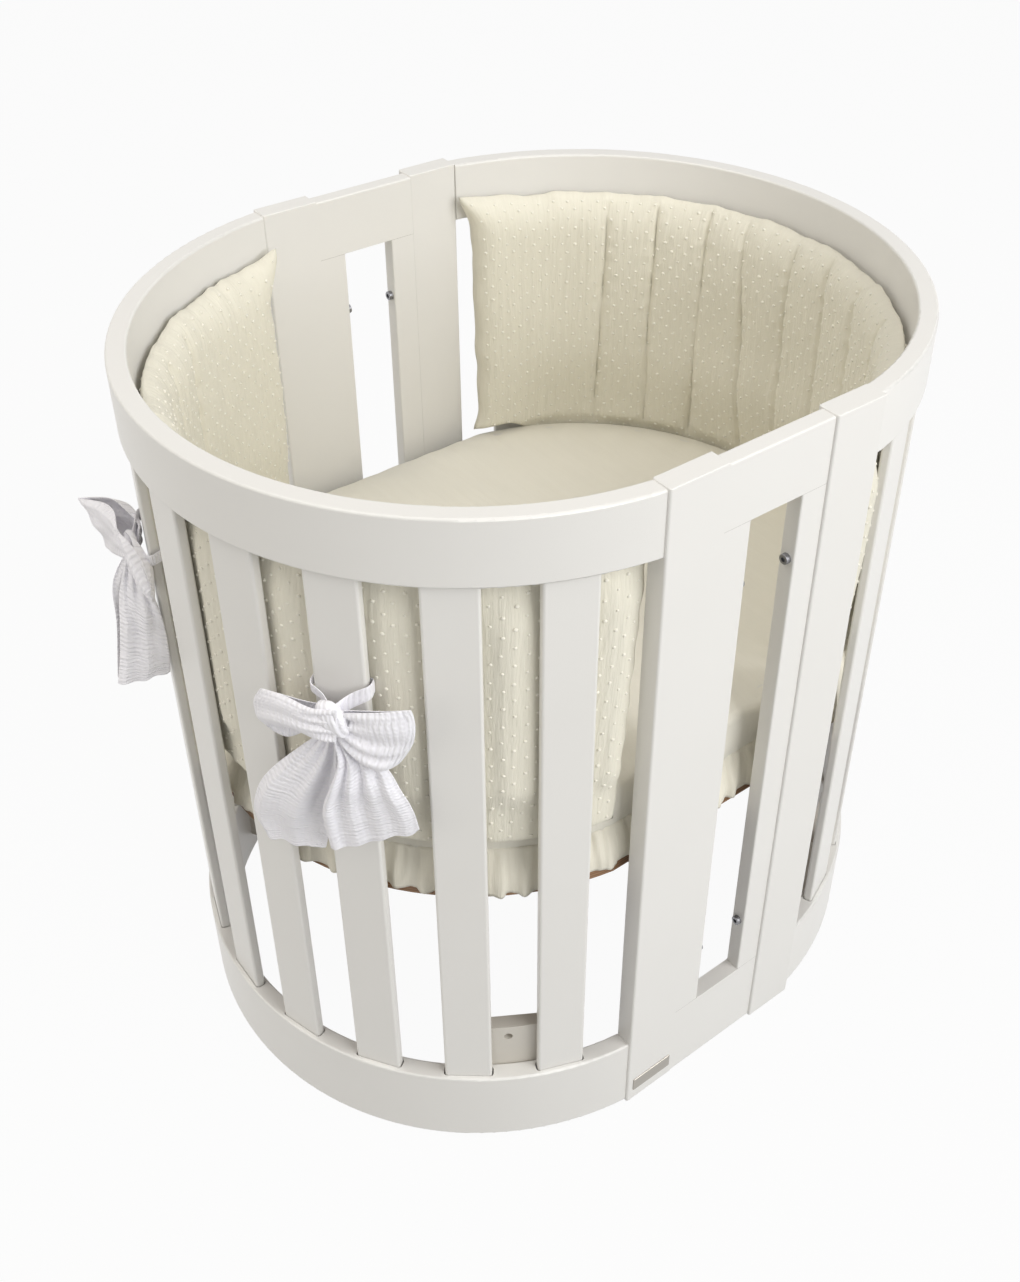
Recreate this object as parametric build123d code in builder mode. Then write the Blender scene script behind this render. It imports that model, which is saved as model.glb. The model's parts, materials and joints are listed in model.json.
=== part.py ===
from build123d import *
import os
from math import asin, acos, cos, degrees, radians, sin, sqrt

os.makedirs("parts", exist_ok=True)

# An oval baby crib, in millimetres, +Z up. The origin is on the floor at the middle of the plan.
# The front round end points to -X and the rear one to +X. The near side panel lies at -Y.
# Two slatted round ends carry a post at each tip, and two framed side panels are bolted between
# the posts. Angles on a round end are counted from its tip, positive towards the near side.

# Overall plan and height
HEIGHT = 870.0  # floor to the tops of the posts
ARC_R = 356.0  # outer radius of the round ends
ARC_CENTRE = 77.0  # how far each arc centre lies from the middle of the crib

# Curved rails
RAIL_T = 20.5
TOP_RAIL_H = 71.0
BOTTOM_RAIL_H = 106.0
RAIL_SHY = 1.5  # the rails stop this far short of the post ends, top and bottom
EDGE_R = 2.5  # eased edge of the rails and posts
END_EDGE_R = 1.2  # eased end of the posts

# Slats
SLAT_COUNT = 9
SLAT_PITCH = 17.0  # degrees
SLAT_W = 52.0
SLAT_T = 11.0
SLAT_INSET = 6.0  # outer face of a slat behind the outer face of the rail
SLAT_EDGE_R = 3.0
TENON = 20.0
TENON_END_GAP = 0.6
MORTISE_GAP = 0.5
MORTISE_END_GAP = 1.6

# Posts
FRONT_POST_W = 68.0
FRONT_POST_T = 24.0
FRONT_POST_PROUD = 3.2  # outer face of the post beyond the end of the curved rail
REAR_POST_W = 65.4
REAR_POST_T = 25.5
REAR_POST_PROUD = 6.2

# Side panels
PANEL_T = 18.5
FRONT_STILE_W = 33.4
WINDOW_W = 65.0
REAR_STILE_W = 31.0
PANEL_TOP_RAIL_H = 71.5
PANEL_BOTTOM_RAIL_H = 112.5
WINDOW_EDGE_R = 2.0
JOINT_EASE = 0.5  # small chamfer that shows as a line where a stile meets a rail

# Dowels
DOWEL_R = 4.0
DOWEL_IN_RAIL = 15.0
DOWEL_IN_POST = 20.0
DOWEL_END_GAP = 0.5
TOP_DOWEL_SPREAD = 34.0
BOTTOM_DOWEL_SPREAD = 56.0
PIN_FIT = 0.05  # radial room round dowels, screws and inserts

# Panel bolts and their threaded inserts
BOLT_LOW_RISE = 83.0  # lower bolts above the panel's bottom rail
BOLT_HIGH_DROP = 77.0  # upper bolts below the panel's top rail
BOLT_R = 3.0
BOLT_ROOM = 0.3
BOLT_HEAD_R = 5.5
BOLT_HEAD_H = 5.0
BOLT_HEAD_EDGE = 0.8
HEX_KEY = 5.0
HEX_DEPTH = 3.0
INSERT_R = 5.0
INSERT_L = 18.0
BOLT_IN_INSERT = 15.0

# Mattress base and what carries it
BASE_Z = 377.0  # underside of the base board
BASE_T = 16.0
BASE_GAP = 11.5  # base edge to the inner face of the curved rails
BASE_SIDE_GAP = 13.0  # base edge to the inner faces of the front posts
VENT_R = 14.0
VENT_PITCH_X = 130.0
VENT_PITCH_Y = 120.0
VENT_COLUMNS = 5
VENT_ROWS = 3
BRACKET_W = 40.0
BRACKET_T = 2.5
BRACKET_DROP = 50.0
BRACKET_REACH = 52.0
SCREW_R = 2.0
SCREW_HEAD_R = 4.2
SCREW_HEAD_H = 2.4
SCREW_BITE = 14.0
BRACKET_SCREW_HIGH = 16.0  # below the underside of the base
BRACKET_SCREW_LOW = 38.0
BASE_BOLT_INSET = 34.0  # from the face of the post
BASE_BOLT_HEAD_R = 7.0
BASE_BOLT_HEAD_H = 4.0
NUT_KEY = 10.0
NUT_H = 5.0
BASE_BOLT_TAIL = 2.0

# Boards for the lowest base height, on the inner face of the bottom rails
LOW_BOARD_ANGLE = 58.5
LOW_BOARD_SPAN = 16.0  # degrees along the rail
LOW_BOARD_T = 12.0
LOW_BOARD_Z = 30.0
LOW_BOARD_TOP = 172.0
LOW_BOARD_HOLE_R = 5.0
LOW_BOARD_HOLE_DROP = 16.5
LOW_SCREW_Z = 68.0
LOW_SCREW_SPREAD = 56.0
SEAT_GAP = 0.2

# Mattress and its fitted cover
MATTRESS_H = 108.0
MATTRESS_INSET = 9.0  # mattress edge inside the base edge
MATTRESS_FOOT_INSET = 4.0
MATTRESS_FOOT_RISE = 8.0
MATTRESS_EDGE = 16.0  # height and depth of the rounded top edge
MATTRESS_SHOULDER_DROP = 4.0
MATTRESS_SHOULDER_INSET = 5.5
MATTRESS_CROWN = 5.0
MATTRESS_CROWN_INSET = 70.0
MATTRESS_WAIST = 2.5  # how far the sides draw in at half height
COVER_GAP = 0.3
COVER_T = 1.8
RUFFLE_H = 56.0
RUFFLE_HEM_RISE = 4.0  # hem above the underside of the base
RUFFLE_FOLDS = 54
RUFFLE_T = 1.8
RUFFLE_GATHER_WAVE = 0.4
RUFFLE_HEM_WAVE = 2.2
RUFFLE_HEM_CLEAR = 3.3  # hem to the base edge at its innermost fold
RUFFLE_LAP = 4.0  # the cover runs this far down behind the frill

# Bumper pads
BUMPER_H = 361.0
BUMPER_TUCK = 39.0  # depth of the pad between mattress and slats
BUMPER_GAP = 2.0  # back of the pad to the inner face of the curved rails
BUMPER_T = 32.0
BUMPER_SEAM_T = 9.0  # drawn-in top seam
BUMPER_SHOULDER = 36.0  # the pad is full this far below its top seam
BUMPER_SWELL = 30.0  # height in which the pad swells above the mattress
BUMPER_CROWN = 4.0
PAD_GAP = 0.3  # pad to the mattress cover
BUMPER_END = 78.0
BUMPER_SEAM_PITCH = 12.0
BUMPER_SEAMS = 9
BUMPER_CHANNEL = 5.0
BUMPER_HEM_CHANNEL = 1.0

# Ribbon bows tied round two front slats
FRONT_BOW_SLAT = 2
SIDE_BOW_SLAT = -1
BOW_STRAP_Z = 663.0
BOW_STRAP_H = 12.0
BOW_STRAP_T = 2.0
BOW_STRAP_GAP = 0.3
BOW_KNOT_DROP = 14.0
BOW_KNOT_W = 24.0
BOW_KNOT_H = 30.0
BOW_KNOT_D = 30.0
BOW_KNOT_EDGE = 8.0
BOW_LOOP_W = 84.0
BOW_LOOP_H = 68.0
BOW_LOOP_D = 34.0
BOW_LOOP_NECK = 16.0
BOW_LOOP_BELLY = 50.0  # fullest place of a loop, from the middle of the knot
BOW_LOOP_BELLY_H = 61.0
BOW_LOOP_TIP_D = 17.0
BOW_LOOP_EDGE = 6.0
BOW_STANDOFF = 3.0  # loops clear of the slat
BOW_TAIL_L = 160.0
BOW_TAIL_W = 82.0
BOW_TAIL_NECK = 15.0
BOW_TAIL_T = 5.0
BOW_TAIL_FOLDS = 4
BOW_TAIL_WAVE = 7.0
BOW_TAIL_NECK_WAVE = 0.7
BOW_TAIL_SPLAY = 44.0

# Bare name plate
PLATE_W = 56.0
PLATE_H = 20.0
PLATE_T = 1.2
PLATE_Z = 27.0
PLATE_EDGE_GAP = 8.0
PLATE_CORNER_R = 1.5
PLATE_BEVEL = 0.5

# Places worked out from the sizes above
STRAIGHT = FRONT_POST_W + FRONT_STILE_W + WINDOW_W + REAR_STILE_W + REAR_POST_W
HALF = STRAIGHT / 2
PANEL_FRONT_X = -HALF + FRONT_POST_W
WINDOW_FRONT_X = PANEL_FRONT_X + FRONT_STILE_W
WINDOW_REAR_X = WINDOW_FRONT_X + WINDOW_W
PANEL_REAR_X = WINDOW_REAR_X + REAR_STILE_W

RAIL_INNER_R = ARC_R - RAIL_T
RAIL_END_Y = sqrt(ARC_R**2 - (HALF - ARC_CENTRE) ** 2)
TOP_RAIL_Z = HEIGHT - RAIL_SHY - TOP_RAIL_H
BOTTOM_RAIL_TOP = RAIL_SHY + BOTTOM_RAIL_H
SLAT_MID_R = ARC_R - SLAT_INSET - SLAT_T / 2
SLAT_ANGLES = [SLAT_PITCH * (i - (SLAT_COUNT - 1) / 2) for i in range(SLAT_COUNT)]

FRONT_POST_FACE = RAIL_END_Y + FRONT_POST_PROUD
FRONT_POST_INNER = FRONT_POST_FACE - FRONT_POST_T
REAR_POST_FACE = RAIL_END_Y + REAR_POST_PROUD
REAR_POST_INNER = REAR_POST_FACE - REAR_POST_T
PANEL_MID_Y = {-1: -FRONT_POST_FACE + PANEL_T / 2, 1: FRONT_POST_INNER + PANEL_T / 2}
PANEL_TOP_RAIL_Z = HEIGHT - RAIL_SHY - PANEL_TOP_RAIL_H
PANEL_BOTTOM_RAIL_TOP = RAIL_SHY + PANEL_BOTTOM_RAIL_H
STILE_MIDS = (PANEL_FRONT_X + FRONT_STILE_W / 2, PANEL_REAR_X - REAR_STILE_W / 2)
BOLT_HEIGHTS = (PANEL_BOTTOM_RAIL_TOP + BOLT_LOW_RISE, PANEL_TOP_RAIL_Z - BOLT_HIGH_DROP)

DOWEL_Y = RAIL_END_Y - RAIL_T / 2
TOP_DOWEL_MID = TOP_RAIL_Z + TOP_RAIL_H / 2
BOTTOM_DOWEL_MID = RAIL_SHY + BOTTOM_RAIL_H / 2
TOP_DOWELS = (TOP_DOWEL_MID - TOP_DOWEL_SPREAD / 2, TOP_DOWEL_MID + TOP_DOWEL_SPREAD / 2)
BOTTOM_DOWELS = (
    BOTTOM_DOWEL_MID - BOTTOM_DOWEL_SPREAD / 2,
    BOTTOM_DOWEL_MID + BOTTOM_DOWEL_SPREAD / 2,
)

LOW_BOARD_BACK_R = RAIL_INNER_R - SEAT_GAP
LOW_BOARD_FRONT_R = LOW_BOARD_BACK_R * cos(radians(LOW_BOARD_SPAN / 2)) - LOW_BOARD_T
LOW_SCREW_PAIR = ((-LOW_SCREW_SPREAD / 2, 0), (LOW_SCREW_SPREAD / 2, 0))

BASE_R = RAIL_INNER_R - BASE_GAP
BASE_HALF_W = FRONT_POST_INNER - BASE_SIDE_GAP
BASE_TOP = BASE_Z + BASE_T
MATTRESS_R = BASE_R - MATTRESS_INSET
MATTRESS_HALF_W = BASE_HALF_W - MATTRESS_INSET
MATTRESS_TOP = BASE_TOP + MATTRESS_H
RUFFLE_HEM_Z = BASE_Z + RUFFLE_HEM_RISE
RUFFLE_SEAM_Z = RUFFLE_HEM_Z + RUFFLE_H
BUMPER_BACK_R = RAIL_INNER_R - BUMPER_GAP
BUMPER_Z = MATTRESS_TOP - BUMPER_TUCK
BUMPER_TOP = BUMPER_Z + BUMPER_H
BUMPER_TUCK_R = MATTRESS_R + COVER_GAP + COVER_T + PAD_GAP


def hand_in(piece, name):
    """Label a finished piece and write it as one STEP file."""
    piece.part.label = name
    export_step(piece.part, f"parts/{name}.step")


def on_arc(side, angle, radius):
    """Plan position on a round end, side -1 for the front and 1 for the rear."""
    turn = radians(angle)
    return (side * (ARC_CENTRE + radius * cos(turn)), -radius * sin(turn))


def outward(side, angle):
    """Horizontal direction that points out of the crib at an angle of a round end."""
    turn = radians(angle)
    return (side * cos(turn), -sin(turn), 0)


def spoke_floor(side, angle, radius, z):
    """Level plane on a round end, with its X direction pointing outwards."""
    return Plane(origin=(*on_arc(side, angle, radius), z), x_dir=outward(side, angle), z_dir=(0, 0, 1))


def spoke_wall(side, angle, radius, z):
    """Upright plane on a round end that faces outwards, with its Y direction up."""
    out_x, out_y, _ = outward(side, angle)
    return Plane(
        origin=(*on_arc(side, angle, radius), z),
        x_dir=(-out_y, out_x, 0),
        z_dir=(out_x, out_y, 0),
    )


def post_sizes(side):
    """Width, thickness, outer face and inner face of a post of the front or rear end."""
    if side < 0:
        return FRONT_POST_W, FRONT_POST_T, FRONT_POST_FACE, FRONT_POST_INNER
    return REAR_POST_W, REAR_POST_T, REAR_POST_FACE, REAR_POST_INNER


def arc_band(side):
    """Plan of a curved rail: a band between two arcs, cut off square where the posts stand."""
    tip = 0 if side > 0 else 180
    centre = (side * ARC_CENTRE, 0)
    outer_sweep = degrees(acos((HALF - ARC_CENTRE) / ARC_R))
    inner_sweep = degrees(acos((HALF - ARC_CENTRE) / RAIL_INNER_R))
    with BuildSketch() as band:
        with BuildLine():
            outer = CenterArc(centre, ARC_R, tip - outer_sweep, 2 * outer_sweep)
            inner = CenterArc(centre, RAIL_INNER_R, tip - inner_sweep, 2 * inner_sweep)
            Line(outer @ 0, inner @ 0)
            Line(outer @ 1, inner @ 1)
        make_face()
    return band.sketch


def make_arc_rail(side, z, height, dowel_levels, mortise_z, mortise_depth):
    """One curved rail with dowel holes in its ends and a mortise for each slat."""
    with BuildPart() as rail:
        with BuildSketch(Plane.XY.offset(z)):
            add(arc_band(side))
        extrude(amount=height)
        fillet(rail.edges().filter_by(GeomType.CIRCLE), EDGE_R)
        with BuildSketch(Plane.YZ.offset(side * HALF)):
            for flank in (-1, 1):
                with Locations(*[(flank * DOWEL_Y, level) for level in dowel_levels]):
                    Circle(DOWEL_R + PIN_FIT)
        extrude(amount=side * (DOWEL_IN_RAIL + DOWEL_END_GAP), mode=Mode.SUBTRACT)
        for angle in SLAT_ANGLES:
            with BuildSketch(spoke_floor(side, angle, SLAT_MID_R, mortise_z)):
                RectangleRounded(
                    SLAT_T + 2 * MORTISE_GAP,
                    SLAT_W + 2 * MORTISE_END_GAP,
                    SLAT_EDGE_R + MORTISE_GAP,
                )
        extrude(amount=mortise_depth, mode=Mode.SUBTRACT)
    return rail


def make_bottom_rail(side):
    """Curved bottom rail, with pilot holes in its inner face for the screws of the low boards."""
    reach = RAIL_INNER_R - LOW_BOARD_FRONT_R
    blank = make_arc_rail(side, RAIL_SHY, BOTTOM_RAIL_H, BOTTOM_DOWELS, BOTTOM_RAIL_TOP, -TENON)
    with BuildPart() as rail:
        add(blank.part)
        for angle in (-LOW_BOARD_ANGLE, LOW_BOARD_ANGLE):
            with BuildSketch(spoke_wall(side, angle, LOW_BOARD_FRONT_R, LOW_SCREW_Z)):
                with Locations(*LOW_SCREW_PAIR):
                    Circle(SCREW_R + PIN_FIT)
        extrude(amount=reach + SCREW_BITE + DOWEL_END_GAP, mode=Mode.SUBTRACT)
    return rail


def make_slat(side, angle):
    """One flat upright slat with eased edges, seated on the floor of its lower mortise."""
    foot = BOTTOM_RAIL_TOP - TENON
    with BuildPart() as slat:
        with BuildSketch(spoke_floor(side, angle, SLAT_MID_R, foot)):
            RectangleRounded(SLAT_T, SLAT_W, SLAT_EDGE_R)
        extrude(amount=TOP_RAIL_Z + TENON - TENON_END_GAP - foot)
    return slat


def make_post(side, flank):
    """One post at the tip of a round end, drilled for dowels, bolt inserts and base screws."""
    width, thickness, face, inner = post_sizes(side)
    middle = (side * (HALF - width / 2), flank * (face - thickness / 2))
    with BuildPart() as post:
        with BuildSketch():
            with Locations(middle):
                Rectangle(width, thickness)
        extrude(amount=HEIGHT)
        upright = post.edges().filter_by(Axis.Z).group_by(Axis.X)
        if side < 0:
            # the front posts lie flush with the panels, so only their arc side is eased
            fillet(upright[0], EDGE_R)
        else:
            fillet(upright[0] + upright[-1], EDGE_R)
        ends = post.faces().filter_by(Axis.Z)
        fillet(ends.edges(), END_EDGE_R)
        with BuildSketch(Plane.YZ.offset(side * HALF)):
            with Locations(*[(flank * DOWEL_Y, level) for level in TOP_DOWELS + BOTTOM_DOWELS]):
                Circle(DOWEL_R + PIN_FIT)
        extrude(amount=-side * (DOWEL_IN_POST + DOWEL_END_GAP), mode=Mode.SUBTRACT)
        with BuildSketch(Plane.YZ.offset(side * (HALF - width))):
            with Locations(*[(PANEL_MID_Y[flank], level) for level in BOLT_HEIGHTS]):
                Circle(INSERT_R + PIN_FIT)
        extrude(amount=side * (INSERT_L + DOWEL_END_GAP), mode=Mode.SUBTRACT)
        with BuildSketch(Plane.XZ.offset(-flank * inner)):
            for drop in (BRACKET_SCREW_HIGH, BRACKET_SCREW_LOW):
                with Locations((middle[0], BASE_Z - drop)):
                    Circle(SCREW_R + PIN_FIT)
        extrude(amount=-flank * (SCREW_BITE + DOWEL_END_GAP), mode=Mode.SUBTRACT)
    return post


def make_panel_rail(flank, z, height, stile_face_up):
    """Top or bottom rail of a side panel, drilled for the dowels of its stiles."""
    length = PANEL_REAR_X - PANEL_FRONT_X
    window_z = z + height if stile_face_up else z
    with BuildPart() as rail:
        with BuildSketch(Plane.XY.offset(z)):
            with Locations((PANEL_FRONT_X + length / 2, PANEL_MID_Y[flank])):
                Rectangle(length, PANEL_T)
        extrude(amount=height)
        long_edges = rail.edges().filter_by(Axis.X).group_by(Axis.Z)
        fillet(long_edges[0] if stile_face_up else long_edges[-1], WINDOW_EDGE_R)
        with BuildSketch(Plane.XY.offset(window_z)):
            with Locations(*[(x, PANEL_MID_Y[flank]) for x in STILE_MIDS]):
                Circle(DOWEL_R + PIN_FIT)
        into = -1 if stile_face_up else 1
        extrude(amount=into * (DOWEL_IN_RAIL + DOWEL_END_GAP), mode=Mode.SUBTRACT)
    return rail


def make_stile(flank, x_mid, width, window_side):
    """One narrow stile of a side panel, eased towards the window and drilled for its bolts."""
    with BuildPart() as stile:
        with BuildSketch(Plane.XY.offset(PANEL_BOTTOM_RAIL_TOP)):
            with Locations((x_mid, PANEL_MID_Y[flank])):
                Rectangle(width, PANEL_T)
        extrude(amount=PANEL_TOP_RAIL_Z - PANEL_BOTTOM_RAIL_TOP)
        upright = stile.edges().filter_by(Axis.Z).group_by(Axis.X)
        fillet(upright[-1] if window_side > 0 else upright[0], WINDOW_EDGE_R)
        chamfer(stile.edges().filter_by(Axis.X), JOINT_EASE)
        with BuildSketch(Plane.XY.offset(PANEL_BOTTOM_RAIL_TOP)):
            with Locations((x_mid, PANEL_MID_Y[flank])):
                Circle(DOWEL_R + PIN_FIT)
        extrude(amount=DOWEL_IN_RAIL + DOWEL_END_GAP, mode=Mode.SUBTRACT)
        with BuildSketch(Plane.XY.offset(PANEL_TOP_RAIL_Z)):
            with Locations((x_mid, PANEL_MID_Y[flank])):
                Circle(DOWEL_R + PIN_FIT)
        extrude(amount=-(DOWEL_IN_RAIL + DOWEL_END_GAP), mode=Mode.SUBTRACT)
        with BuildSketch(Plane.YZ.offset(x_mid - width / 2)):
            with Locations(*[(PANEL_MID_Y[flank], level) for level in BOLT_HEIGHTS]):
                Circle(BOLT_R + BOLT_ROOM)
        extrude(amount=width, mode=Mode.SUBTRACT)
    return stile


def make_low_board(side, angle):
    """A short upright board behind a bottom rail, rounded to the rail and drilled near its top."""
    half_span = LOW_BOARD_SPAN / 2
    half_w = LOW_BOARD_BACK_R * sin(radians(half_span))
    hole_rise = LOW_BOARD_TOP - LOW_BOARD_HOLE_DROP - LOW_SCREW_Z
    plan = Plane(origin=(side * ARC_CENTRE, 0, LOW_BOARD_Z), x_dir=outward(side, angle), z_dir=(0, 0, 1))
    with BuildPart() as board:
        with BuildSketch(plan):
            with BuildLine():
                back = CenterArc((0, 0), LOW_BOARD_BACK_R, -half_span, LOW_BOARD_SPAN)
                Polyline(back @ 1, (LOW_BOARD_FRONT_R, half_w), (LOW_BOARD_FRONT_R, -half_w), back @ 0)
            make_face()
        extrude(amount=LOW_BOARD_TOP - LOW_BOARD_Z)
        with BuildSketch(spoke_wall(side, angle, LOW_BOARD_BACK_R, LOW_SCREW_Z)):
            with Locations(*LOW_SCREW_PAIR):
                Circle(SCREW_R + PIN_FIT)
            with Locations((0, hole_rise)):
                Circle(LOW_BOARD_HOLE_R)
        extrude(amount=-2 * LOW_BOARD_T, mode=Mode.SUBTRACT)
    return board


# Round ends: rails, slats and posts
for side, end in ((-1, "front"), (1, "rear")):
    top_rail = make_arc_rail(side, TOP_RAIL_Z, TOP_RAIL_H, TOP_DOWELS, TOP_RAIL_Z, TENON)
    hand_in(top_rail, f"{end}_top_rail")
    hand_in(make_bottom_rail(side), f"{end}_bottom_rail")
    for number, angle in enumerate(SLAT_ANGLES, start=1):
        hand_in(make_slat(side, angle), f"{end}_slat_{number}")

    for flank, place in ((-1, "near"), (1, "far")):
        hand_in(make_post(side, flank), f"{end}_post_{place}")
        hand_in(make_low_board(side, -flank * LOW_BOARD_ANGLE), f"{end}_low_board_{place}")

# Side panels: two rails and two stiles each
for flank, place in ((-1, "near"), (1, "far")):
    panel_top = make_panel_rail(flank, PANEL_TOP_RAIL_Z, PANEL_TOP_RAIL_H, stile_face_up=False)
    hand_in(panel_top, f"{place}_panel_top_rail")
    panel_bottom = make_panel_rail(flank, RAIL_SHY, PANEL_BOTTOM_RAIL_H, stile_face_up=True)
    hand_in(panel_bottom, f"{place}_panel_bottom_rail")
    hand_in(make_stile(flank, STILE_MIDS[0], FRONT_STILE_W, 1), f"{place}_panel_front_stile")
    hand_in(make_stile(flank, STILE_MIDS[1], REAR_STILE_W, -1), f"{place}_panel_rear_stile")

# Dowels between the curved rails and the posts
with BuildPart() as rail_dowels:
    for side in (-1, 1):
        with BuildSketch(Plane.YZ.offset(side * (HALF - DOWEL_IN_POST))):
            for flank in (-1, 1):
                with Locations(*[(flank * DOWEL_Y, level) for level in TOP_DOWELS + BOTTOM_DOWELS]):
                    Circle(DOWEL_R)
        extrude(amount=side * (DOWEL_IN_POST + DOWEL_IN_RAIL))
hand_in(rail_dowels, "rail_dowels")

# Dowels between the stiles and the panel rails
with BuildPart() as panel_dowels:
    for joint_z in (PANEL_BOTTOM_RAIL_TOP, PANEL_TOP_RAIL_Z):
        with BuildSketch(Plane.XY.offset(joint_z - DOWEL_IN_RAIL)):
            for flank in (-1, 1):
                with Locations(*[(x, PANEL_MID_Y[flank]) for x in STILE_MIDS]):
                    Circle(DOWEL_R)
        extrude(amount=2 * DOWEL_IN_RAIL)
hand_in(panel_dowels, "panel_dowels")

# Bolts that hold the side panels: each head bears on the window face of a stile
BOLT_SEATS = ((WINDOW_FRONT_X, -1, FRONT_STILE_W), (WINDOW_REAR_X, 1, REAR_STILE_W))
BOLT_PLACES = [(PANEL_MID_Y[flank], level) for flank in (-1, 1) for level in BOLT_HEIGHTS]
with BuildPart() as panel_bolts:
    for seat_x, inward, stile_w in BOLT_SEATS:
        crown_x = seat_x - inward * BOLT_HEAD_H
        with BuildSketch(Plane.YZ.offset(seat_x)):
            with Locations(*BOLT_PLACES):
                Circle(BOLT_R)
        extrude(amount=inward * (stile_w + BOLT_IN_INSERT))
        with BuildSketch(Plane.YZ.offset(seat_x)):
            with Locations(*BOLT_PLACES):
                Circle(BOLT_HEAD_R)
        extrude(amount=-inward * BOLT_HEAD_H)
        fillet(panel_bolts.edges().filter_by_position(Axis.X, crown_x, crown_x), BOLT_HEAD_EDGE)
        with BuildSketch(Plane.YZ.offset(crown_x)):
            with Locations(*BOLT_PLACES):
                RegularPolygon(HEX_KEY / 2, 6, major_radius=False)
        extrude(amount=inward * HEX_DEPTH, mode=Mode.SUBTRACT)
hand_in(panel_bolts, "panel_bolts")

# Threaded inserts in the posts, flush with the joint
with BuildPart() as panel_inserts:
    for seat_x, inward, stile_w in BOLT_SEATS:
        with BuildSketch(Plane.YZ.offset(seat_x + inward * stile_w)):
            with Locations(*BOLT_PLACES):
                Circle(INSERT_R)
                Circle(BOLT_R + PIN_FIT, mode=Mode.SUBTRACT)
        extrude(amount=inward * INSERT_L)
hand_in(panel_inserts, "panel_inserts")


def oval(radius, half_width):
    """An oval plan: two arcs about the arc centres, joined by straight sides."""
    sweep = degrees(asin(half_width / radius))
    with BuildSketch() as plan:
        with BuildLine():
            rear = CenterArc((ARC_CENTRE, 0), radius, -sweep, 2 * sweep)
            front = CenterArc((-ARC_CENTRE, 0), radius, 180 - sweep, 2 * sweep)
            Line(rear @ 1, front @ 0)
            Line(front @ 1, rear @ 0)
        make_face()
    return plan.sketch


# Mattress base: a vented board on four steel angles
BASE_CORNERS = []
for side in (-1, 1):
    width, _, _, inner = post_sizes(side)
    for flank in (-1, 1):
        BASE_CORNERS.append((side * (HALF - width / 2), flank, inner))
BASE_BOLT_PLACES = [(x, flank * (inner - BASE_BOLT_INSET)) for x, flank, inner in BASE_CORNERS]

with BuildPart() as base_board:
    with BuildSketch(Plane.XY.offset(BASE_Z)):
        add(oval(BASE_R, BASE_HALF_W))
        with GridLocations(VENT_PITCH_X, VENT_PITCH_Y, VENT_COLUMNS, VENT_ROWS):
            Circle(VENT_R, mode=Mode.SUBTRACT)
    extrude(amount=BASE_T)
    with Locations(*[(x, y, BASE_TOP) for x, y in BASE_BOLT_PLACES]):
        CounterBoreHole(BOLT_R + BOLT_ROOM, BASE_BOLT_HEAD_R + BOLT_ROOM, BASE_BOLT_HEAD_H + BOLT_ROOM)
hand_in(base_board, "base_board")

with BuildPart() as base_brackets:
    for x, flank, inner in BASE_CORNERS:
        leg = inner - BRACKET_T
        toe = inner - BRACKET_REACH
        shelf = BASE_Z - BRACKET_T
        foot = BASE_Z - BRACKET_DROP
        with BuildSketch(Plane.YZ.offset(x - BRACKET_W / 2)):
            with BuildLine():
                Polyline(
                    (flank * inner, foot),
                    (flank * inner, BASE_Z),
                    (flank * toe, BASE_Z),
                    (flank * toe, shelf),
                    (flank * leg, shelf),
                    (flank * leg, foot),
                    close=True,
                )
            make_face()
        extrude(amount=BRACKET_W)
        with BuildSketch(Plane.XZ.offset(-flank * inner)):
            with Locations((x, BASE_Z - BRACKET_SCREW_HIGH), (x, BASE_Z - BRACKET_SCREW_LOW)):
                Circle(SCREW_R + PIN_FIT)
        extrude(amount=flank * BRACKET_T, mode=Mode.SUBTRACT)
    with BuildSketch(Plane.XY.offset(BASE_Z)):
        with Locations(*BASE_BOLT_PLACES):
            Circle(BOLT_R + BOLT_ROOM)
    extrude(amount=-BRACKET_T, mode=Mode.SUBTRACT)
hand_in(base_brackets, "base_brackets")

SCREW_L = BRACKET_T + SCREW_BITE
with BuildPart() as bracket_screws:
    for x, flank, inner in BASE_CORNERS:
        for radius, length in ((SCREW_HEAD_R, flank * SCREW_HEAD_H), (SCREW_R, -flank * SCREW_L)):
            with BuildSketch(Plane.XZ.offset(-flank * (inner - BRACKET_T))):
                with Locations((x, BASE_Z - BRACKET_SCREW_HIGH), (x, BASE_Z - BRACKET_SCREW_LOW)):
                    Circle(radius)
            extrude(amount=length)
hand_in(bracket_screws, "bracket_screws")

NUT_TOP = BASE_Z - BRACKET_T
with BuildPart() as base_bolts:
    with BuildSketch(Plane.XY.offset(BASE_TOP - BOLT_ROOM)):
        with Locations(*BASE_BOLT_PLACES):
            Circle(BASE_BOLT_HEAD_R)
    extrude(amount=-BASE_BOLT_HEAD_H)
    with BuildSketch(Plane.XY.offset(BASE_TOP - BOLT_ROOM - BASE_BOLT_HEAD_H)):
        with Locations(*BASE_BOLT_PLACES):
            Circle(BOLT_R)
    extrude(amount=-(BASE_TOP - BOLT_ROOM - BASE_BOLT_HEAD_H - NUT_TOP + NUT_H + BASE_BOLT_TAIL))
hand_in(base_bolts, "base_bolts")

with BuildPart() as base_nuts:
    with BuildSketch(Plane.XY.offset(NUT_TOP)):
        with Locations(*BASE_BOLT_PLACES):
            RegularPolygon(NUT_KEY / 2, 6, major_radius=False)
            Circle(BOLT_R + PIN_FIT, mode=Mode.SUBTRACT)
    extrude(amount=-NUT_H)
hand_in(base_nuts, "base_nuts")

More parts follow.
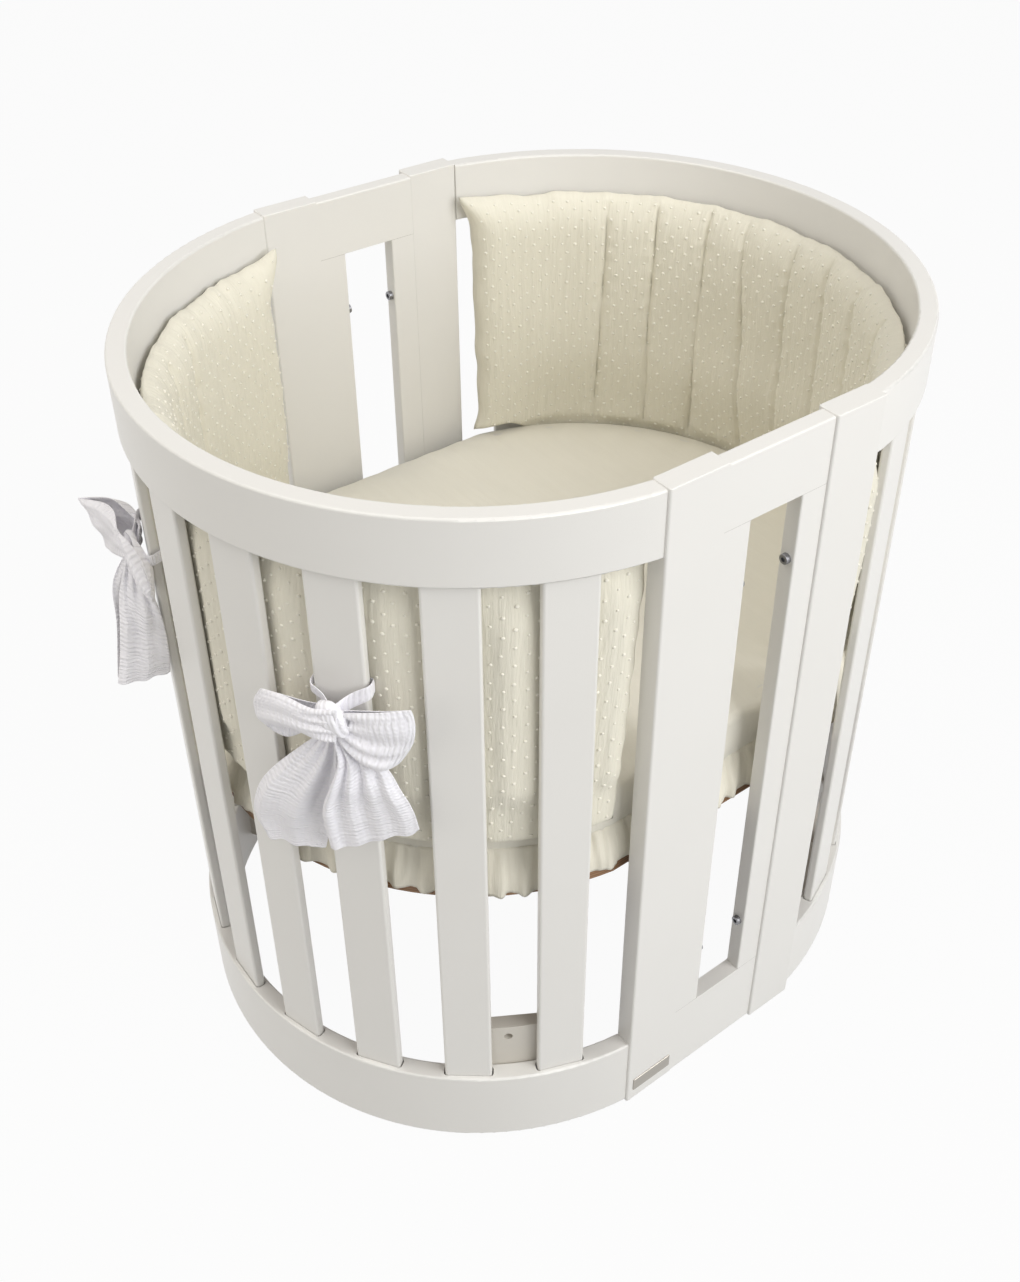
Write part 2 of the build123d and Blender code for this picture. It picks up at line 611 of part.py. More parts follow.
# Screws that hold the low boards to the bottom rails
with BuildPart() as low_board_screws:
    for side in (-1, 1):
        for angle in (-LOW_BOARD_ANGLE, LOW_BOARD_ANGLE):
            seat = spoke_wall(side, angle, LOW_BOARD_FRONT_R, LOW_SCREW_Z)
            shank = RAIL_INNER_R + SCREW_BITE - LOW_BOARD_FRONT_R
            for radius, length in ((SCREW_HEAD_R, -SCREW_HEAD_H), (SCREW_R, shank)):
                with BuildSketch(seat):
                    with Locations(*LOW_SCREW_PAIR):
                        Circle(radius)
                extrude(amount=length)
hand_in(low_board_screws, "low_board_screws")


def mattress_levels(grow):
    """Heights and insets of the mattress outline, drawn in at half height and crowned on top."""
    foot = BASE_TOP + COVER_GAP
    rim = MATTRESS_TOP - MATTRESS_CROWN
    return (
        (foot, MATTRESS_FOOT_INSET),
        (foot + MATTRESS_FOOT_RISE, 0),
        ((foot + rim) / 2, MATTRESS_WAIST),
        (rim - MATTRESS_EDGE + grow, 0),
        (rim - MATTRESS_SHOULDER_DROP + grow, MATTRESS_SHOULDER_INSET),
        (rim + grow, MATTRESS_EDGE),
        (MATTRESS_TOP + grow, MATTRESS_CROWN_INSET),
    )


def mattress_block(grow):
    """The mattress, swollen by grow on its sides and top."""
    with BuildPart() as block:
        for z, inset in mattress_levels(grow):
            with BuildSketch(Plane.XY.offset(z)):
                add(oval(MATTRESS_R - inset + grow, MATTRESS_HALF_W - inset + grow))
        loft(ruled=True)
    return block


hand_in(mattress_block(0), "mattress")


def wavy_oval(radius, half_width, wave):
    """An oval plan whose edge swings in and out in equal arcs."""
    path = oval(radius, half_width).face().outer_wire()
    steps = 2 * RUFFLE_FOLDS
    with BuildSketch() as plan:
        with BuildLine():
            for step in range(steps):
                here = path @ (step / steps)
                there = path @ ((step + 1) / steps)
                along = there - here
                swing = Vector(along.Y, -along.X).normalized() * (wave if step % 2 else -wave)
                ThreePointArc(here, (here + there) / 2 + swing, there)
        make_face()
    return plan.sketch


def ruffle_block(offset):
    """What a gathered frill encloses, from its seam down to the hem, swollen by offset."""
    seam = COVER_GAP + COVER_T / 2 - MATTRESS_WAIST + offset
    hem = RUFFLE_HEM_CLEAR + RUFFLE_HEM_WAVE + offset
    with BuildPart() as block:
        with BuildSketch(Plane.XY.offset(RUFFLE_SEAM_Z)):
            add(wavy_oval(MATTRESS_R + seam, MATTRESS_HALF_W + seam, RUFFLE_GATHER_WAVE))
        with BuildSketch(Plane.XY.offset(RUFFLE_HEM_Z)):
            add(wavy_oval(BASE_R + hem, BASE_HALF_W + hem, RUFFLE_HEM_WAVE))
        loft(ruled=True)
    return block


# Fitted cover: a skin over the mattress with a gathered frill sewn to its lower edge
with BuildPart() as frill:
    add(ruffle_block(RUFFLE_T).part)
    add(ruffle_block(0).part, mode=Mode.SUBTRACT)

with BuildPart() as mattress_cover:
    add(mattress_block(COVER_GAP + COVER_T).part)
    add(mattress_block(COVER_GAP).part, mode=Mode.SUBTRACT)
    split(bisect_by=Plane.XY.offset(RUFFLE_SEAM_Z - RUFFLE_LAP), keep=Keep.TOP)
    add(frill.part)
hand_in(mattress_cover, "mattress_cover")


def polar(radius, angle):
    """Plan point at a radius and an angle in degrees."""
    return (radius * cos(radians(angle)), radius * sin(radians(angle)))


def bumper_levels():
    """Heights, inner radii and channel depths of a bumper pad, from its tucked hem to its top seam."""
    full_r = BUMPER_BACK_R - BUMPER_T
    rest = MATTRESS_TOP + COVER_GAP + COVER_T + PAD_GAP
    return (
        (BUMPER_Z, BUMPER_TUCK_R, BUMPER_HEM_CHANNEL),
        (rest, BUMPER_TUCK_R, BUMPER_HEM_CHANNEL),
        (rest + BUMPER_SWELL, full_r + BUMPER_CROWN, BUMPER_CHANNEL),
        ((rest + BUMPER_TOP) / 2, full_r, BUMPER_CHANNEL),
        (BUMPER_TOP - BUMPER_SHOULDER, full_r + BUMPER_CROWN, BUMPER_CHANNEL),
        (BUMPER_TOP, BUMPER_BACK_R - BUMPER_SEAM_T, BUMPER_HEM_CHANNEL),
    )


def make_bumper(side):
    """One padded bumper of a round end, quilted in upright channels on its inner face."""
    sewn = [BUMPER_SEAM_PITCH * (i - (BUMPER_SEAMS - 1) / 2) for i in range(BUMPER_SEAMS)]
    stops = [-BUMPER_END, *sewn, BUMPER_END]
    with BuildPart() as bumper:
        for z, inner_r, channel in bumper_levels():
            plan = Plane(origin=(side * ARC_CENTRE, 0, z), x_dir=(side, 0, 0), z_dir=(0, 0, 1))
            seam_r = inner_r + channel
            with BuildSketch(plan):
                with BuildLine():
                    back = CenterArc((0, 0), BUMPER_BACK_R, -BUMPER_END, 2 * BUMPER_END)
                    for first, last in zip(stops, stops[1:]):
                        ThreePointArc(
                            polar(seam_r, first),
                            polar(inner_r, (first + last) / 2),
                            polar(seam_r, last),
                        )
                    Line(back @ 0, polar(seam_r, -BUMPER_END))
                    Line(back @ 1, polar(seam_r, BUMPER_END))
                make_face()
        loft(ruled=True)
    return bumper


hand_in(make_bumper(-1), "bumper_front")
hand_in(make_bumper(1), "bumper_rear")


def folded_strip(width, wave):
    """A strip of cloth seen from its end, folded to and fro."""
    step = width / BOW_TAIL_FOLDS
    edges = [-width / 2 + step * i for i in range(BOW_TAIL_FOLDS + 1)]
    with BuildSketch() as strip:
        with BuildLine():
            for face in (-BOW_TAIL_T / 2, BOW_TAIL_T / 2):
                for i in range(BOW_TAIL_FOLDS):
                    swing = wave if i % 2 else -wave
                    ThreePointArc(
                        (edges[i], face),
                        (edges[i] + step / 2, face + swing),
                        (edges[i + 1], face),
                    )
            for end in (edges[0], edges[-1]):
                Line((end, -BOW_TAIL_T / 2), (end, BOW_TAIL_T / 2))
        make_face()
    return strip.sketch


def make_bow(slat):
    """A ribbon bow: a strap round the slat, a knot, two loops and two folded tails."""
    angle = slat * SLAT_PITCH
    face_r = SLAT_MID_R + SLAT_T / 2 + BOW_STRAP_GAP
    front = spoke_wall(-1, angle, face_r, BOW_STRAP_Z - BOW_KNOT_DROP)
    loop_out = BOW_STANDOFF + BOW_LOOP_D / 2
    tail_out = BOW_STANDOFF + BOW_TAIL_WAVE + BOW_TAIL_T / 2
    tail_top = BOW_KNOT_H / 2 - BOW_LOOP_EDGE
    strap_in = (SLAT_T + 2 * BOW_STRAP_GAP, SLAT_W + 2 * BOW_STRAP_GAP)
    strap_out = [size + 2 * BOW_STRAP_T for size in strap_in]
    with BuildPart() as bow:
        with BuildSketch(spoke_floor(-1, angle, SLAT_MID_R, BOW_STRAP_Z - BOW_STRAP_H / 2)):
            Rectangle(*strap_out)
            Rectangle(*strap_in, mode=Mode.SUBTRACT)
        extrude(amount=BOW_STRAP_H)
        with BuildSketch(front):
            RectangleRounded(BOW_KNOT_W, BOW_KNOT_H, BOW_KNOT_EDGE)
        extrude(amount=BOW_KNOT_D)
        for hand in (-1, 1):
            for reach, tall, deep in (
                (0, BOW_LOOP_NECK, BOW_LOOP_NECK),
                (BOW_LOOP_BELLY, BOW_LOOP_BELLY_H, BOW_LOOP_D),
                (BOW_LOOP_W, BOW_LOOP_H, BOW_LOOP_TIP_D),
            ):
                across = Plane(
                    origin=front.from_local_coords((hand * reach, 0, loop_out)),
                    x_dir=front.z_dir,
                    z_dir=front.x_dir,
                )
                with BuildSketch(across):
                    RectangleRounded(deep, tall, BOW_LOOP_EDGE)
            loft(ruled=True)
            for drop, width, wave, aside, out in (
                (tail_top, BOW_TAIL_NECK, BOW_TAIL_NECK_WAVE, BOW_TAIL_NECK / 2, BOW_KNOT_D / 2),
                (BOW_TAIL_L, BOW_TAIL_W, BOW_TAIL_WAVE, BOW_TAIL_SPLAY, tail_out),
            ):
                hem = Plane(
                    origin=front.from_local_coords((hand * aside, -drop, out)),
                    x_dir=front.x_dir,
                    z_dir=(0, 0, 1),
                )
                with BuildSketch(hem):
                    add(folded_strip(width, wave))
            loft(ruled=True)
    return bow


hand_in(make_bow(FRONT_BOW_SLAT), "front_bow")
hand_in(make_bow(SIDE_BOW_SLAT), "side_bow")

# Bare metal plate near the foot of the front near post
with BuildPart() as name_plate:
    with BuildSketch(Plane.XZ.offset(FRONT_POST_FACE)):
        with Locations((-HALF + PLATE_EDGE_GAP + PLATE_W / 2, PLATE_Z)):
            RectangleRounded(PLATE_W, PLATE_H, PLATE_CORNER_R)
    extrude(amount=PLATE_T)
    chamfer(name_plate.faces().sort_by(Axis.Y)[0].edges(), PLATE_BEVEL)
hand_in(name_plate, "name_plate")
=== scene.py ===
# %% [markdown]
# # An oval baby crib, dressed
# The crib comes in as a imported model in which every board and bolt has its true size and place. This
# lesson dresses it. The wood keeps its solids and gets a lacquer, while everything soft is modelled
# anew: two bumper pads, a mattress with a frilled cover, and two tied bows.

# %% Load the frame
import json
import math

import bpy
import numpy as np
from mathutils import Matrix, Vector


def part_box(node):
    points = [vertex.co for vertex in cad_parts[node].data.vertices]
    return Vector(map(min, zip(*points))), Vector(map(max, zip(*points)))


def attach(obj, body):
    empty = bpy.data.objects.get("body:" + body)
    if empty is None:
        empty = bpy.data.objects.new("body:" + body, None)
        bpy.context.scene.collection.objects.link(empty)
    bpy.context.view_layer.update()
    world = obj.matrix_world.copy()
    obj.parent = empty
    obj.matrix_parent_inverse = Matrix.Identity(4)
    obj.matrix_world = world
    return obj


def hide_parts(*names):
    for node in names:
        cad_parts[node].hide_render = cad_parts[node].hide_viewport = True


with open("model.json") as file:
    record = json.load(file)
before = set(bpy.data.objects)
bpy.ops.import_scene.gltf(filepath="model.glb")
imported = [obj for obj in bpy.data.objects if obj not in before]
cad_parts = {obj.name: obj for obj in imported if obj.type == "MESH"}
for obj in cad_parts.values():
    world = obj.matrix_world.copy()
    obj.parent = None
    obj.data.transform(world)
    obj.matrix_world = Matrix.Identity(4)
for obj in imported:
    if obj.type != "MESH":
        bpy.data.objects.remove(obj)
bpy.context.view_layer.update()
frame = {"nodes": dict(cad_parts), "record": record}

MM = 0.001
NODES = frame["nodes"]

# %% [markdown]
# ## Read the sizes of the frame
# The soft goods have to fit the wood, so their sizes come from the boxes of the solids. A round end
# is an arc: its radius follows from the chord between its two tips and its rise.

# %% Sizes of the round ends, the pads and the mattress
rail_low, rail_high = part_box("front_top_rail")
RAIL_FOOT = rail_low.z
arc_rise = rail_high.x - rail_low.x
ARC_R = (rail_high.y**2 + arc_rise**2) / (2 * arc_rise)
ARC_CENTRE = -rail_low.x - ARC_R
SLAT_STEP = math.radians(17)  # turn from one slat to the next

pad_low, pad_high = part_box("bumper_rear")
PAD_BACK_R = pad_high.x - ARC_CENTRE
PAD_FOOT = pad_low.z
PAD_TOP = pad_high.z
PAD_END = math.asin(pad_high.y / PAD_BACK_R)

core_low, core_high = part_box("mattress")
CORE_R = core_high.x - ARC_CENTRE
CORE_HALF_W = core_high.y
CORE_FOOT = core_low.z
CORE_TOP = core_high.z
cover_low, cover_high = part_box("mattress_cover")
FRILL_HEM_Z = cover_low.z
COVER_TOP = cover_high.z
BASE_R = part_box("base_board")[1].x - ARC_CENTRE
print("round ends of radius", round(ARC_R, 4), "m")

# %% [markdown]
# ## Finishes
# A finish is a small tree of nodes that ends in one Principled shader. Plain values go straight on
# its sockets. What varies is a number between 0 and 1, which drives the colour, roughness or bump.

# %% Nodes
def new_finish(name, color, roughness, **sockets):
    """A Principled material with plain values on its sockets, its tree and its shader."""
    finish = bpy.data.materials.new(name)
    finish.use_nodes = True
    tree = finish.node_tree
    shader = tree.nodes["Principled BSDF"]
    values = {"Base_Color": (*color, 1), "Roughness": roughness, **sockets}
    for key, value in values.items():
        shader.inputs[key.replace("_", " ")].default_value = value
    return finish, tree, shader


def add(tree, kind, settings=(), **inputs):
    """Add a node. Each input, by label or as i0, i1, gets a value or a link."""
    made = tree.nodes.new("ShaderNode" + kind)
    for key, value in dict(settings).items():
        setattr(made, key, value)
    for key, value in inputs.items():
        numbered = key[0] == "i" and key[1:].isdigit()
        socket = made.inputs[int(key[1:]) if numbered else key.replace("_", " ")]
        if isinstance(value, bpy.types.NodeSocket):
            tree.links.new(value, socket)
        else:
            socket.default_value = value
    return made


def combine(tree, operation, first, second):
    """One number from two, by a Math operation."""
    return add(tree, "Math", {"operation": operation}, i0=first, i1=second).outputs[0]


# %% [markdown]
# A texture needs a place to look up. This is the object's own coordinates, or the UV map in metres
# where a pattern follows the cloth, so that a thread is as wide on every piece.

# %% Textures, and what they drive
def coordinates(tree, source, scale=(1, 1, 1)):
    """Object or UV coordinates in metres, scaled."""
    place = add(tree, "TexCoord").outputs[source]
    return add(tree, "Mapping", Vector=place, Scale=scale).outputs["Vector"]


def grain(tree, vector, scale, detail=3.0, roughness=0.55):
    """Soft noise."""
    noise = add(tree, "TexNoise", Vector=vector, Scale=scale, Detail=detail, Roughness=roughness)
    return noise.outputs["Fac"]


def bands(tree, vector, scale, direction, distortion=0.0):
    """Even bands, waved by a distortion."""
    amount = {"Scale": scale, "Distortion": distortion, "Detail_Scale": 0.6}
    wave = add(tree, "TexWave", {"bands_direction": direction}, Vector=vector, **amount)
    return wave.outputs["Fac"]


def tint(tree, shader, factor, dark, light):
    """Colour that runs from dark to light with a factor."""
    colors = {"i6": (*dark, 1), "i7": (*light, 1)}  # the two colour inputs of a Mix node
    mix = add(tree, "Mix", {"data_type": "RGBA"}, Factor=factor, **colors)
    tree.links.new(mix.outputs[2], shader.inputs["Base Color"])


def vary_roughness(tree, shader, factor, low, high):
    """Roughness that runs from low to high with a factor."""
    rough = add(tree, "MapRange", Value=factor, To_Min=low, To_Max=high)
    tree.links.new(rough.outputs[0], shader.inputs["Roughness"])


def raise_by(tree, shader, height, distance):
    """Bump from a height of 0 to 1, with its distance in metres."""
    bump = add(tree, "Bump", Height=height, Distance=distance)
    tree.links.new(bump.outputs["Normal"], shader.inputs["Normal"])


# %% [markdown]
# The frame is sprayed with a warm white satin lacquer. It is almost even: a very fine orange peel
# catches the light, and the tone drifts a little from board to board.

# %% Lacquered wood
def lacquer(name, dark, light):
    """Satin lacquer whose tone drifts between two colours."""
    finish, tree, shader = new_finish(name, light, 0.36, Coat_Weight=0.15, Coat_Roughness=0.3)
    place = coordinates(tree, "Object")
    tint(tree, shader, grain(tree, place, 5.0, 2.0), dark, light)
    vary_roughness(tree, shader, grain(tree, place, 40.0), 0.32, 0.42)
    raise_by(tree, shader, grain(tree, place, 900.0, 2.0), 0.06 * MM)
    return finish


LACQUER = lacquer("frame_lacquer", (0.775, 0.76, 0.725), (0.805, 0.792, 0.76))
# The darker lacquer of the low boards is painted shade.
LOW_BOARD_PAINTED_SHADE = lacquer("low_board_painted_shade", (0.60, 0.565, 0.50), (0.65, 0.615, 0.55))
# The dark lacquer of the hairlines is painted shade in the joint grooves.
JOINT_PAINTED_SHADE = lacquer("joint_painted_shade", (0.40, 0.38, 0.35), (0.46, 0.44, 0.41))

# %% [markdown]
# The bumpers are ivory dotted cotton with an upright crinkle. The dots are modelled, so the material only
# has the crinkle and the weave, and its colour darkens in the hollows of the crinkle: painted shade. The
# cover, its frill and the ticking of the mattress are the same weave in other tones, and the frill's
# lighter tone is painted light.

# %% Dotted cotton, plain cotton and ticking
THREADS = 330.0  # scale of the weave
WOVEN = {"Sheen_Weight": 0.2, "Sheen_Roughness": 0.5, "Specular_IOR_Level": 0.2}


def cotton(name, dark, light, crinkle, crinkle_depth):
    """Woven cotton, crinkled along its length."""
    finish, tree, shader = new_finish(name, light, 0.86, **WOVEN)
    place = coordinates(tree, "UV")
    creases = grain(tree, coordinates(tree, "UV", scale=(1, 0.1, 1)), crinkle, 3.0, 0.6)
    # Darker where the crinkle dips: painted shade in the crease hollows.
    tint(tree, shader, creases, dark, light)
    warp, weft = (bands(tree, place, THREADS, direction) for direction in "XY")
    threads = combine(tree, "MULTIPLY", combine(tree, "MULTIPLY", warp, weft), 0.1)
    raise_by(tree, shader, combine(tree, "ADD", creases, threads), crinkle_depth)
    return finish


DOTTED = cotton("bumper_cotton", (0.78, 0.745, 0.625), (0.845, 0.815, 0.70), 260.0, 1.3 * MM)
PLAIN = cotton("cover_cotton", (0.80, 0.77, 0.68), (0.85, 0.825, 0.735), 90.0, 0.8 * MM)
# The frill is the cover's cotton in a lighter tone, which is painted light, with a finer crinkle of its
# own.
FRILL_LIT_COTTON = cotton("frill_lit_cotton", (0.85, 0.81, 0.69), (0.91, 0.875, 0.755), 210.0, 1.3 * MM)
TICKING = cotton("mattress_ticking", (0.76, 0.74, 0.68), (0.82, 0.80, 0.74), 60.0, 0.5 * MM)
DOT_THREAD = new_finish("dot_thread", (0.845, 0.815, 0.72), 0.85)[0]

# %% [markdown]
# The bows are double gauze, two thin layers tacked together in a small grid, which puffs up and crinkles
# between the tacks. Distorted bands give the grid, and noise stretched across the ribbon gives the
# crinkle. The colour turns a darker lavender in the hollows of the puffs and crinkles, which is painted
# shade. The gauze is thin, so some light goes through it.

# %% Muslin of the bows
GAUZE = {
    "Sheen_Weight": 0.15, "Sheen_Roughness": 0.5, "Specular_IOR_Level": 0.15,
    "Subsurface_Weight": 0.25, "Subsurface_Radius": (1, 1, 1), "Subsurface_Scale": 0.001,
}


def muslin():
    """Double gauze with a grid of tacks."""
    finish, tree, shader = new_finish("bow_muslin", (0.93, 0.925, 0.945), 0.9, **GAUZE)
    place = coordinates(tree, "UV")
    rows = bands(tree, place, 66.0, "Y", 6.0)
    columns = bands(tree, place, 52.0, "X", 6.0)
    tacks = combine(tree, "MULTIPLY", rows, combine(tree, "ADD", columns, 0.8))
    crinkle = grain(tree, coordinates(tree, "UV", scale=(0.16, 1, 1)), 230.0, 2.0)
    creased = combine(tree, "MULTIPLY", crinkle, 0.8)
    puff = combine(tree, "ADD", creased, combine(tree, "MULTIPLY", tacks, 0.16))
    # Darker lavender where the puffs dip: painted shade in the hollows.
    tint(tree, shader, puff, (0.91, 0.895, 0.97), (0.98, 0.97, 1.0))
    raise_by(tree, shader, puff, 2.1 * MM)
    return finish


MUSLIN = muslin()

# %% [markdown]
# The mattress base is brown plywood: its edge shows plies, its faces show grain. The hardware is
# zinc plated, the angles are powder coated, and the plate is bare satin metal.

# %% Plywood, beech and metals
def plywood():
    """Plies across Z and fibres along X."""
    finish, tree, shader = new_finish("base_plywood", (0.36, 0.21, 0.10), 0.5)
    plies = bands(tree, coordinates(tree, "Object"), 90.0, "Z", 0.3)
    fibres = grain(tree, coordinates(tree, "Object", scale=(1, 12, 40)), 16.0, 5.0)
    streaks = combine(tree, "MULTIPLY", plies, fibres)
    tint(tree, shader, streaks, (0.20, 0.10, 0.045), (0.46, 0.27, 0.13))
    raise_by(tree, shader, fibres, 0.3 * MM)
    return finish


def beech():
    """Plain beech of the dowels."""
    finish, tree, shader = new_finish("dowel_wood", (0.72, 0.55, 0.36), 0.6)
    fibres = grain(tree, coordinates(tree, "Object", scale=(2, 20, 20)), 30.0, 4.0)
    tint(tree, shader, fibres, (0.62, 0.45, 0.28), (0.78, 0.61, 0.41))
    return finish


def metal(name, color, roughness, metallic, stretch=(1, 1, 1)):
    """Metal with fine scratches, which a stretch can draw out."""
    finish, tree, shader = new_finish(name, color, roughness, Metallic=metallic)
    scratches = grain(tree, coordinates(tree, "Object", scale=stretch), 900.0)
    vary_roughness(tree, shader, scratches, roughness - 0.08, roughness + 0.1)
    raise_by(tree, shader, scratches, 0.04 * MM)
    return finish


FINISHES = {
    "frame_lacquer": LACQUER,
    "dowel_wood": beech(),
    "base_plywood": plywood(),
    "zinc": metal("zinc", (0.27, 0.27, 0.285), 0.36, 1.0),
    "bracket_steel": metal("bracket_steel", (0.80, 0.79, 0.76), 0.5, 0.0),
    "plate_metal": metal("plate_metal", (0.40, 0.375, 0.335), 0.3, 1.0, (0.05, 1, 1)),
}

# %% [markdown]
# Each solid that stays takes the finish of its slot in the record, but the low boards behind the bottom
# rails get a darker lacquer, which is painted shade.

# %% Put the finishes on the solids that stay
for part in frame["record"]["subparts"]:
    finish = FINISHES.get(part["material_slot"])
    if "_low_board_" in part["node"]:
        finish = LOW_BOARD_PAINTED_SHADE
    if finish:
        for place in NODES[part["node"]].material_slots:
            place.material = finish
print(len(FINISHES), "finishes on the solids")

# %% [markdown]
# ## Hairlines
# Where a stile butts against a rail, its edge is eased, which leaves a small groove along the joint. Each
# hairline is a dark sliver in that groove, a trace below the faces of the boards, and its dark colour is
# painted shade of the groove.

# %% Select, shape, join and dress pieces
def select_only(*pieces):
    """Select these pieces alone, with the first one active."""
    bpy.ops.object.select_all(action="DESELECT")
    for piece in pieces:
        piece.select_set(True)
    bpy.context.view_layer.objects.active = pieces[0]


def apply_modifier(piece, kind, **settings):
    """Add a modifier, set it and apply it."""
    select_only(piece)
    modifier = piece.modifiers.new(kind.title(), kind)
    for key, value in settings.items():
        setattr(modifier, key, value)
    bpy.ops.object.modifier_apply(modifier=modifier.name)


def join(name, pieces):
    """Join pieces into one and give it a name."""
    select_only(*pieces)
    bpy.ops.object.join()
    pieces[0].name = pieces[0].data.name = name
    return pieces[0]


def dress(piece, body, material):
    """Let a piece ride on its body, and set its slot and material."""
    piece.data.materials.clear()
    piece.data.materials.append(material)
    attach(piece, body)
    print(piece.name, len(piece.data.vertices), "vertices on", body)


# %% Hairlines at the joints of the side panels
HAIRLINE = 0.5 * MM
HAIRLINE_TOP = 0.04 * MM  # below the faces of the boards
HAIRLINE_FOOT = 0.6 * MM
HAIRLINE_IN_RAIL = 0.05 * MM  # the rest lies in the eased edge of the stile


def hairline(low, high):
    """A sliver between two corners, with its edges bevelled."""
    bpy.ops.mesh.primitive_cube_add(size=1, location=(low + high) / 2, scale=high - low)
    piece = bpy.context.object
    bpy.ops.object.transform_apply()
    apply_modifier(piece, "BEVEL", width=HAIRLINE / 10, segments=2)
    return piece


hairlines = []
for stile in [f"{panel}_panel_{end}_stile" for panel in ("near", "far") for end in ("front", "rear")]:
    low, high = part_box(stile)
    for height in (low.z - HAIRLINE_IN_RAIL, high.z + HAIRLINE_IN_RAIL - HAIRLINE):
        for face, inward in ((low.y, 1), (high.y, -1)):
            depths = sorted((face + inward * HAIRLINE_TOP, face + inward * HAIRLINE_FOOT))
            foot = Vector((low.x, depths[0], height))
            top = Vector((high.x, depths[1], height + HAIRLINE))
            hairlines.append(hairline(foot, top))
panel_joint_shade_lines = join("panel_joint_shade_lines", hairlines)
dress(panel_joint_shade_lines, "frame", JOINT_PAINTED_SHADE)

# %% [markdown]
# ## Cloth
# Cloth is easiest to think of as a flat grid that is then put in place: each vertex knows how far
# across and up the cloth it is, and a formula says where that spot lies on the crib. A simulation
# could find folds too, but a formula gives the folds that are wanted, and the same ones in each run.

# %% Cloth grids
def cloth_grid(name, columns, rows):
    """A flat grid of quads, from -0.5 to 0.5 across and up the cloth."""
    bpy.ops.mesh.primitive_grid_add(x_subdivisions=columns, y_subdivisions=rows, size=1)
    piece = bpy.context.object
    piece.name = piece.data.name = name
    return piece


def lay(piece, form, width, length, shift=0.0):
    """Put each spot (across, up) of a flat grid where form says, with a UV map in metres."""
    flat = np.array([vertex.co.xy for vertex in piece.data.vertices], dtype=float) + 0.5
    placed = np.column_stack(np.broadcast_arrays(*form(*flat.T)))
    piece.data.vertices.foreach_set("co", placed.ravel())
    for corner in piece.data.uv_layers.active.data:
        corner.uv = (corner.uv.x * width + shift, corner.uv.y * length)
    piece.data.update()
    return piece


def finish_mesh(piece):
    """Merge coinciding points, turn the faces outwards and shade them smooth."""
    select_only(piece)
    bpy.ops.object.mode_set(mode="EDIT")
    bpy.ops.mesh.select_all(action="SELECT")
    bpy.ops.mesh.remove_doubles(threshold=0.05 * MM)
    bpy.ops.mesh.normals_make_consistent(inside=False)
    bpy.ops.object.mode_set(mode="OBJECT")
    bpy.ops.object.shade_smooth()


def thicken(piece, thickness, offset=0.0, levels=0):
    """Give a cloth its thickness, and round it by levels of subdivision."""
    apply_modifier(piece, "SOLIDIFY", thickness=thickness, offset=offset)
    if levels:
        apply_modifier(piece, "SUBSURF", levels=levels, render_levels=levels)
    bpy.ops.object.shade_smooth()


# %% [markdown]
# Real cloth is uneven. Here unevenness is a sum of a few seeded waves of nearby lengths, which never
# quite repeats. Two smooth steps blend one shape into the next.

# %% Unevenness, smooth steps and the round end
DRIFT_WAVES = 6


def drift(seed, period, *places):
    """Smooth seeded unevenness of about -1 to 1."""
    rng = np.random.default_rng(seed)
    total = 0.0
    for _ in range(DRIFT_WAVES):
        heading = rng.normal(size=len(places))
        heading = heading / np.linalg.norm(heading)
        length = period * rng.uniform(0.7, 1.5)
        along = sum(h * place for h, place in zip(heading, places))
        total = total + np.sin(math.tau * along / length + rng.uniform(0, math.tau))
    return total / math.sqrt(DRIFT_WAVES)


def ease(x):
    """A smooth step from 0 to 1."""
    x = np.clip(x, 0, 1)
    return x * x * (3 - 2 * x)


def rounding(distance, reach):
    """A quarter of an ellipse: 0 at an edge, and 1 from a reach inside it."""
    return np.sqrt(1 - (1 - np.clip(distance / reach, 0, 1)) ** 2)


def way_along(points):
    """Length of the way from point to point."""
    return np.linalg.norm(np.diff(points, axis=0), axis=1).sum()


def round_end(side, angle, radius, height):
    """A point of a round end. Side is -1 for the front, 1 for the rear. Angle is from its tip."""
    x = side * (ARC_CENTRE + radius * np.cos(angle))
    return x, -radius * np.sin(angle), height


# %% [markdown]
# ## Bumper pads
# Each pad is a long, thin cushion that stands behind the slats of a round end. It is two faces of
# cloth, sewn together all round, with a roll along the top. The inner face swells into the crib, and
# upright seams pinch it into channels.

# %% Length of the cloth, and its seams
PAD_LENGTH = 2 * PAD_END * PAD_BACK_R
PAD_HEIGHT = PAD_TOP - PAD_FOOT
CROWN = 42 * MM  # height of the roll along the top
CROWN_CLOTH = 54 * MM  # length of the cloth over that roll
PAD_CLOTH = PAD_HEIGHT - CROWN + CROWN_CLOTH
SEAM_LEAN = 9 * MM
SEAM_WANDER = 1.5 * MM
SEAM_CUT = 2.2 * MM  # reach of the sharp crease in a seam
SEAM_DIP = 15 * MM  # reach of the soft dip beside it


def rise_of(up):
    """How high a spot of the cloth lies, up the face and over the roll."""
    over = np.clip((up * PAD_CLOTH - PAD_HEIGHT + CROWN) / CROWN_CLOTH, 0, 1)
    roll = PAD_HEIGHT - CROWN * (1 - np.sin(over * math.pi / 2))
    return np.where(over > 0, roll, up * PAD_CLOTH)


